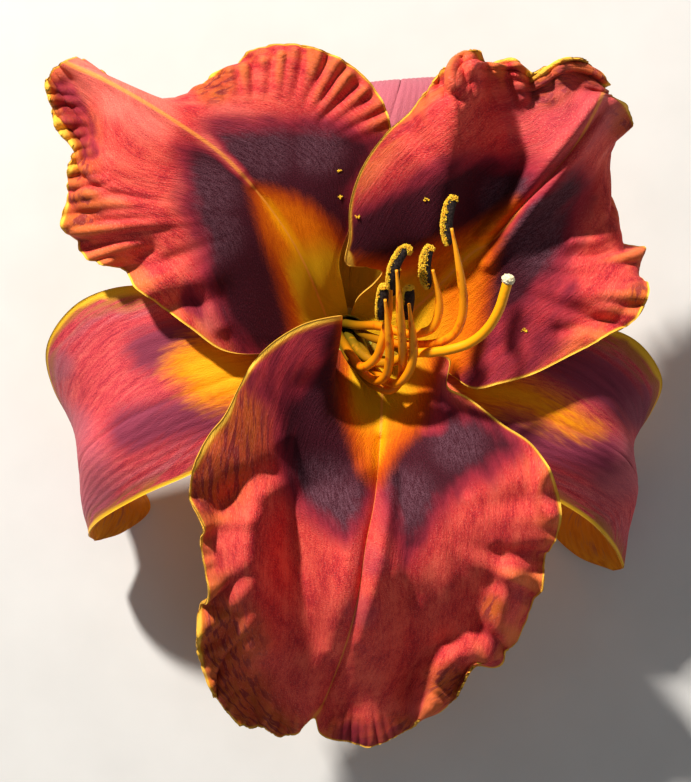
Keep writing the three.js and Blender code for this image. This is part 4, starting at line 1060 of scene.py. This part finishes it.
# Stamens. Six slender orange filaments leave the tube's mouth, sag and arch up, each with a near-black
# anther whose split side is crusted with yellow pollen. The filaments are round rods and the anthers are
# flattened beans.
FILAMENT_RADIUS = 0.9
FILAMENT_INSERT_RADIUS = 2.2
FILAMENT_INSERT_Z = 21.5
FILAMENT_MOUTH_Z = 25.5
FILAMENT_STEPS, FILAMENT_SIDES = 110, 14
# A filament thins by this share towards its anther, from this share of its length on.
FILAMENT_THINS_BY, FILAMENT_THINS_FROM = 0.65, 0.8
ANTHER_HALF_WIDTH = 1.15
ANTHER_HALF_DEPTH = 0.8
ANTHER_STEPS, ANTHER_SIDES = 60, 32
ANTHER_BLUNTNESS = 1.02
GROOVE_SHARE, GROOVE_TURN = 0.16, 0.12
# Each stamen has the turn of its root in the tube in degrees, how far the pollen reaches across its anther
# from the left side, where -1 is that side and 1 the right one, and the courses of its filament and anther.
STAMENS = [
    {
        "insert": 235,
        "pollen": -0.86,
        "filament": [
            (0.2, -4.9, 32.5), (1.8, -6.8, 38.5), (5.2, -9.6, 42.5), (7.4, -9, 46.5), (8.2, -6, 50),
            (8.2, -2.1, 53), (7.8, 2.2, 56), (7.3, 6.2, 58.5),
        ],
        "anther": [(6.6, 2.2, 54), (6.8, 6.1, 56.7), (7.2, 9.3, 58)],
    },
    {
        "insert": 290,
        "pollen": -0.5,
        "filament": [
            (1.6, -4.1, 30.5), (2.8, -8.2, 35.5), (5.6, -10.8, 39), (8.6, -11.6, 41), (10.5, -9.6, 43.3),
            (10.9, -6, 49.3), (10.7, -1.7, 54.5), (10.3, 2.6, 58), (10, 6.5, 60.5), (9.5, 11.9, 62.8),
        ],
        "anther": [
            (8.5, 8.1, 59), (8.9, 11.6, 61), (9.8, 14.1, 61.5), (11.2, 15.8, 61.6), (12.6, 15.8, 61.4),
        ],
    },
    {
        "insert": 345,
        "pollen": -0.9,
        "filament": [
            (2.7, -2, 29), (4.5, -6.3, 35), (7.6, -9.6, 42.5), (10, -10.2, 46.5), (12.1, -8, 49.8),
            (13, -4.1, 52.5), (12.6, 0.6, 55.5), (12, 5.4, 58),
        ],
        "anther": [(11.4, 2.3, 53.9), (12, 6.2, 56.4), (12.1, 9, 57.4)],
    },
    {
        "insert": 110,
        "pollen": 0.1,
        "filament": [
            (2, 1.5, 34), (6.4, 1.2, 42), (11.4, -0.3, 47.5), (14.3, -0.3, 50), (16.7, 0.7, 51.5),
            (17.9, 3.5, 53), (18, 6.4, 54.5), (17.4, 9.3, 56), (16.7, 12.1, 57.2),
        ],
        "anther": [(15.9, 8.3, 55.6), (15.2, 11.7, 56), (15.5, 14.8, 56.2), (16.4, 17, 56)],
    },
    {
        "insert": 50,
        "pollen": -0.35,
        "filament": [
            (2.8, 0, 33), (7.4, -1.8, 42), (13.4, -2.6, 47.5), (18.3, -2.1, 50.5), (21.2, -0.3, 52.5),
            (22.5, 2.6, 54.5), (22.8, 6.2, 56.5), (22.3, 10, 58.5), (21.5, 14.3, 60.3), (20.3, 20.1, 62),
        ],
        "anther": [(19.8, 16.7, 60), (19.4, 20.8, 60.5), (19.9, 24.1, 60.7), (20.9, 26.6, 60.5)],
    },
    {
        "insert": 170,
        "pollen": -0.6,
        "filament": [
            (-0.8, -2.1, 33.5), (0.8, -4.8, 40), (3, -7, 44.5), (5.6, -5.2, 48), (6.9, -1.7, 51),
            (7.9, 2.7, 53.5), (8.4, 6.2, 55.5), (8.5, 8.7, 56.9),
        ],
        "anther": [(8.6, 7, 53.8), (8.9, 9.9, 55.2), (9.5, 12.7, 55.7)],
    },
]


def rod(through, radius_at, steps, sides, flatten=1.0, up=(0.2, 0.3, 0.9)):
    """A closed rod along a smooth line, flattened towards up: its points, its faces, and for each point its
    share of the length and its turn."""
    path = smooth_line(through, steps)
    run = np.gradient(path, axis=0)
    run /= np.linalg.norm(run, axis=1, keepdims=True)
    side = np.cross(run[0], up)
    rings = []
    shares = []
    for i, centre in enumerate(path):
        side = side - run[i] * (side @ run[i])
        side /= np.linalg.norm(side)
        over = np.cross(side, run[i])
        for k in range(sides):
            turn = 2 * math.pi * k / sides
            r = radius_at(i / (steps - 1), turn)
            rings.append(centre + side * r * math.cos(turn) + over * flatten * r * math.sin(turn))
            shares.append((i / (steps - 1), turn, 0))
    count = steps * sides
    faces = grid_faces(steps, sides, closed=True)
    faces += [(count, (k + 1) % sides, k) for k in range(sides)]
    faces += [(count + 1, count - sides + k, count - sides + (k + 1) % sides) for k in range(sides)]
    points = np.array([*rings, path[0], path[-1]])
    return points, faces, [*shares, (0, 0, 0), (1, 0, 0)]


def filament_finish():
    """Waxy flesh, orange flecked with red, turning green-brown in the tube, where it is partly painted shade.
    """
    flesh = Finish("filament_flesh", Roughness=0.35, Specular_IOR_Level=0.3)
    place = flesh.on_object()
    share, _, _ = flesh.carried("rod")
    drawn = flesh.add("ShaderNodeMapping", None, {"Vector": place, "Scale": (1, 0.35, 0.5)})
    fleck = flesh.noise(drawn, 900.0, 3.0)
    # Darker towards the tube: the green-brown base is partly the filament's own colour and partly painted
    # shade.
    orange = flesh.shades(
        share, (0.18, (0.15, 0.08, 0.002)), (0.34, (0.42, 0.15, 0.002)), (0.48, (0.88, 0.22, 0.002)),
        (0.8, (1.0, 0.34, 0.003)), (1.0, (0.95, 0.36, 0.01)),
    )
    flecks = fleck.step(0.55, 0.68) * share.step(0.3, 0.5) * 0.7
    flesh.feed("Base Color", flesh.mix(flecks, orange, (0.62, 0.06, 0.004)))
    flesh.relief(fleck, 0.00008)
    return flesh


def speckled(name, scale, detail, stops, relief, **constants):
    """A finish whose colour and bumps both follow one fine noise, without a direction."""
    finish = Finish(name, **constants)
    speck = finish.noise(finish.on_object(), scale, detail)
    finish.feed("Base Color", finish.shades(speck, *stops))
    finish.relief(speck, relief)
    return finish


GRAIN_SIDES = [(1, 0, 0), (-1, 0, 0), (0, 1, 0), (0, -1, 0), (0, 0, 1), (0, 0, -1)]
GRAIN_FACES = [(0, 2, 4), (2, 1, 4), (1, 3, 4), (3, 0, 4), (2, 0, 5), (1, 2, 5), (3, 1, 5), (0, 3, 5)]


def heap_of_grains(centres, radii):
    """Eight-sided grains, each its own small solid, at these centres."""
    grains = zip(centres, radii)
    points = [np.array(side) * radius + centre for centre, radius in grains for side in GRAIN_SIDES]
    faces = [tuple(6 * k + corner for corner in face) for k in range(len(radii)) for face in GRAIN_FACES]
    return points, faces


def thinning(t, _):
    """A filament's radius."""
    rest = 1 - FILAMENT_THINS_FROM
    return FILAMENT_RADIUS * (1 - FILAMENT_THINS_BY * smooth((t - FILAMENT_THINS_FROM) / rest))


def bean(t, turn):
    """An anther's half-width, with a groove along its left side and round ends."""
    groove = 1 - GROOVE_SHARE * math.exp(-(((math.cos(turn) + 1) / GROOVE_TURN) ** 2))
    return ANTHER_HALF_WIDTH * math.sqrt(ANTHER_BLUNTNESS - (2 * t - 1) ** 4) * groove


# The crust: its grains, how ragged its border is along the anther and from grain to grain, how it takes the
# whole tip, and how far a grain strays and stands out, and the range of its radius.
GRAINS = 2200
RAGGED_ALONG, RAGGED_GRAIN = 0.22, 0.12
TIP_POLLEN, TIP_FROM, TIP_RUN = 2.2, 0.86, 0.1
GRAIN_STRAY, GRAIN_STAND, GRAIN_RADII = 0.12, 0.3, (0.08, 0.14)
END_CAP = 0.15


def pollen_on(points, shares, border, draw):
    """Centres and radii of the grains that cover an anther from its left side as far as the border."""
    centres, radii = [], []
    ragged = [draw.uniform(-RAGGED_ALONG, RAGGED_ALONG) for _ in range(ANTHER_STEPS + 1)]
    while len(centres) < GRAINS:
        k = draw.randrange(len(points) - 2)
        t, turn, _ = shares[k]
        ring = k // ANTHER_SIDES
        out = points[k] - points[ring * ANTHER_SIDES:(ring + 1) * ANTHER_SIDES].mean(axis=0)
        size = np.linalg.norm(out)
        reach = border + ragged[ring] + TIP_POLLEN * smooth((t - TIP_FROM) / TIP_RUN)
        if size < END_CAP or math.cos(turn) > reach + draw.uniform(-RAGGED_GRAIN, RAGGED_GRAIN):
            continue
        stray = np.array([draw.uniform(-GRAIN_STRAY, GRAIN_STRAY) for _ in range(3)])
        centres.append(points[k] + stray + out / size * draw.uniform(0, GRAIN_STAND))
        radii.append(draw.uniform(*GRAIN_RADII))
    return centres, radii


filament_flesh = filament_finish()
anther_husk = speckled(
    "anther_husk", 2600.0, 4.0, [(0.4, (0.009, 0.005, 0.005)), (0.62, (0.035, 0.022, 0.018))], 0.00025,
    Roughness=0.7, Specular_IOR_Level=0.2,
)
pollen_dust = speckled(
    "pollen_dust", 1800.0, 2.0, [(0.35, (0.80, 0.38, 0.005)), (0.62, (1.0, 0.68, 0.03))], 0.0001,
    Roughness=0.7,
)
for number, stamen in enumerate(STAMENS, 1):
    turn = math.radians(stamen["insert"])
    root = [
        (FILAMENT_INSERT_RADIUS * math.cos(turn), FILAMENT_INSERT_RADIUS * math.sin(turn), z)
        for z in (FILAMENT_INSERT_Z, FILAMENT_MOUTH_Z)
    ]
    points, faces, shares = rod([*root, *stamen["filament"]], thinning, FILAMENT_STEPS, FILAMENT_SIDES)
    name = f"filament_{number}"
    new_piece(name + "_stalk", points, faces, filament_flesh, [name], {"rod": shares})
    flatten = ANTHER_HALF_DEPTH / ANTHER_HALF_WIDTH
    points, faces, shares = rod(stamen["anther"], bean, ANTHER_STEPS, ANTHER_SIDES, flatten, (0, 0, 1))
    name = f"anther_{number}"
    new_piece(name + "_husk", points, faces, anther_husk, [name])
    points, faces = heap_of_grains(*pollen_on(points, shares, stamen["pollen"], random.Random(number)))
    new_piece(f"pollen_{number}", points, faces, pollen_dust)

# A few crumbs of pollen have dropped on the petals. Each place is as seen from above, so a line from the
# camera through it finds the petal that it lies on.
CRUMBS = [
    (15.4, 26.4), (15.8, 26.6), (-1.8, 32.2), (-1.6, 27), (2, 23), (35.2, 0.4), (35.4, 0.2), (20.2, 25.4),
]
surface = BVHTree.FromPolygons(
    [tuple(point) for grid in petal_grids for point in grid.reshape(-1, 3)],
    [face for k in range(len(petal_grids)) for face in grid_faces(*PETAL_GRID, k * math.prod(PETAL_GRID))],
)
CRUMB_SEED, CRUMB_GRAINS, CRUMB_SPREAD, CRUMB_LIFT, CRUMB_RADII = 77, 14, (0.22, 0.14), 0.5, (0.1, 0.2)
draw = random.Random(CRUMB_SEED)
lens = Vector(CAMERA_PLACE)
centres, radii = [], []
for x, y in CRUMBS:
    hit, _, _, _ = surface.ray_cast(lens, Vector((x, y, PETAL_HEIGHT)) - lens)
    for _ in range(CRUMB_GRAINS):
        stray = np.array([*(draw.gauss(0, spread) for spread in CRUMB_SPREAD), 0])
        centres.append(np.array(hit) + stray + (0, 0, CRUMB_LIFT))
        radii.append(draw.uniform(*CRUMB_RADII))
points, faces = heap_of_grains(centres, radii)
new_piece("pollen_crumbs", points, faces, pollen_dust)


# Pistil. One ovary in the tube, with a long golden style that curves out to the right past the stamens, and a
# small downy cream stigma on its end. The style is a round rod that thickens a little towards its end.
OVARY_RADIUS = 2
OVARY_BOTTOM_Z = 9.2
OVARY_TOP_Z = 17
STYLE_RADIUS = 0.9
STYLE_SWELL = 0.12
STYLE_STEPS, STYLE_SIDES = 160, 18
# The ovary and a faint joint in the style: where they lie and how far they spread, as shares of the pistil.
OVARY_AT, OVARY_SPREAD = 0.05, 0.075
JOINT_AT, JOINT_SPREAD, JOINT_HEIGHT = 0.66, 0.01, 0.1
# The stigma: how its knob bulges, where it starts, bulges and ends from the style's end, and its down.
STIGMA_RADIUS = 1.15
KNOB_LEAST, KNOB_BULGE, KNOB_START, KNOB_RUN = 0.55, 0.6, 0.15, 0.7
STIGMA_REACH = (-0.2, 0.6, 1.4)
STIGMA_STEPS, STIGMA_SIDES, STIGMA_DOWN, STIGMA_SEED = 14, 20, 0.1, 11
STYLE_PATH = [
    (0, 0, 17), (0, -0.1, 23), (0.8, -1.6, 31.5), (2.4, -3.9, 36), (5, -5.8, 40), (8, -6.2, 43),
    (10.8, -5.2, 46), (12.9, -4.3, 48.5), (16.7, -4.1, 51.5), (20.2, -3.6, 54), (24.1, -2.3, 56),
    (27.4, 0.4, 58.5), (29.6, 4.1, 61), (30.8, 8, 62.8), (31.2, 9.5, 63.4),
]


def pistil_finish():
    """Waxy flesh, mottled gold, turning green-brown in the tube, where it is partly painted shade."""
    flesh = Finish("style_flesh", Roughness=0.38, Specular_IOR_Level=0.3)
    place = flesh.on_object()
    share, _, _ = flesh.carried("rod")
    mottle = flesh.noise(place, 500.0, 2.0)
    # Darker towards the tube: the green-brown base is partly the style's own colour and partly painted shade.
    gold = flesh.shades(
        share, (0.3, (0.14, 0.09, 0.003)), (0.5, (0.45, 0.17, 0.002)), (0.62, (0.95, 0.33, 0.002)),
        (1.0, (1.0, 0.40, 0.003)),
    )
    flesh.feed("Base Color", flesh.mix(mottle.step(0.55, 0.7) * 0.3, gold, (0.88, 0.30, 0.003)))
    flesh.relief(mottle, 0.0001)
    return flesh


def swell(t, _):
    """The pistil's radius, from the ovary up the style."""
    ovary = OVARY_RADIUS * math.sqrt(max(0, 1 - ((t - OVARY_AT) / OVARY_SPREAD) ** 2))
    joint = JOINT_HEIGHT * math.exp(-(((t - JOINT_AT) / JOINT_SPREAD) ** 2))
    return max(ovary, STYLE_RADIUS * (1 + STYLE_SWELL * t)) + joint


def knob(t, _):
    """The stigma's radius, widest half way."""
    return STIGMA_RADIUS * (KNOB_LEAST + KNOB_BULGE * math.sin(math.pi * (KNOB_START + KNOB_RUN * t)))


pistil_line = [(0, 0, OVARY_BOTTOM_Z), (0, 0, (OVARY_BOTTOM_Z + OVARY_TOP_Z) / 2), *STYLE_PATH]
points, faces, shares = rod(pistil_line, swell, STYLE_STEPS, STYLE_SIDES)
new_piece("style", points, faces, pistil_finish(), ["pistil"], {"rod": shares})

tip, below = np.array(STYLE_PATH[-1]), np.array(STYLE_PATH[-2])
ahead = (tip - below) / np.linalg.norm(tip - below)
head = [tip + ahead * reach for reach in STIGMA_REACH]
points, faces, _ = rod(head, knob, STIGMA_STEPS, STIGMA_SIDES)
draw = random.Random(STIGMA_SEED)
points = points + [[draw.uniform(-STIGMA_DOWN, STIGMA_DOWN) for _ in range(3)] for _ in points]
stigma_down = speckled(
    "stigma_down", 2400.0, 3.0, [(0.35, (0.72, 0.55, 0.26)), (0.6, (0.96, 0.86, 0.60))], 0.0003,
    Roughness=0.8,
)
new_piece("stigma_tip", points, faces, stigma_down, ["stigma"])
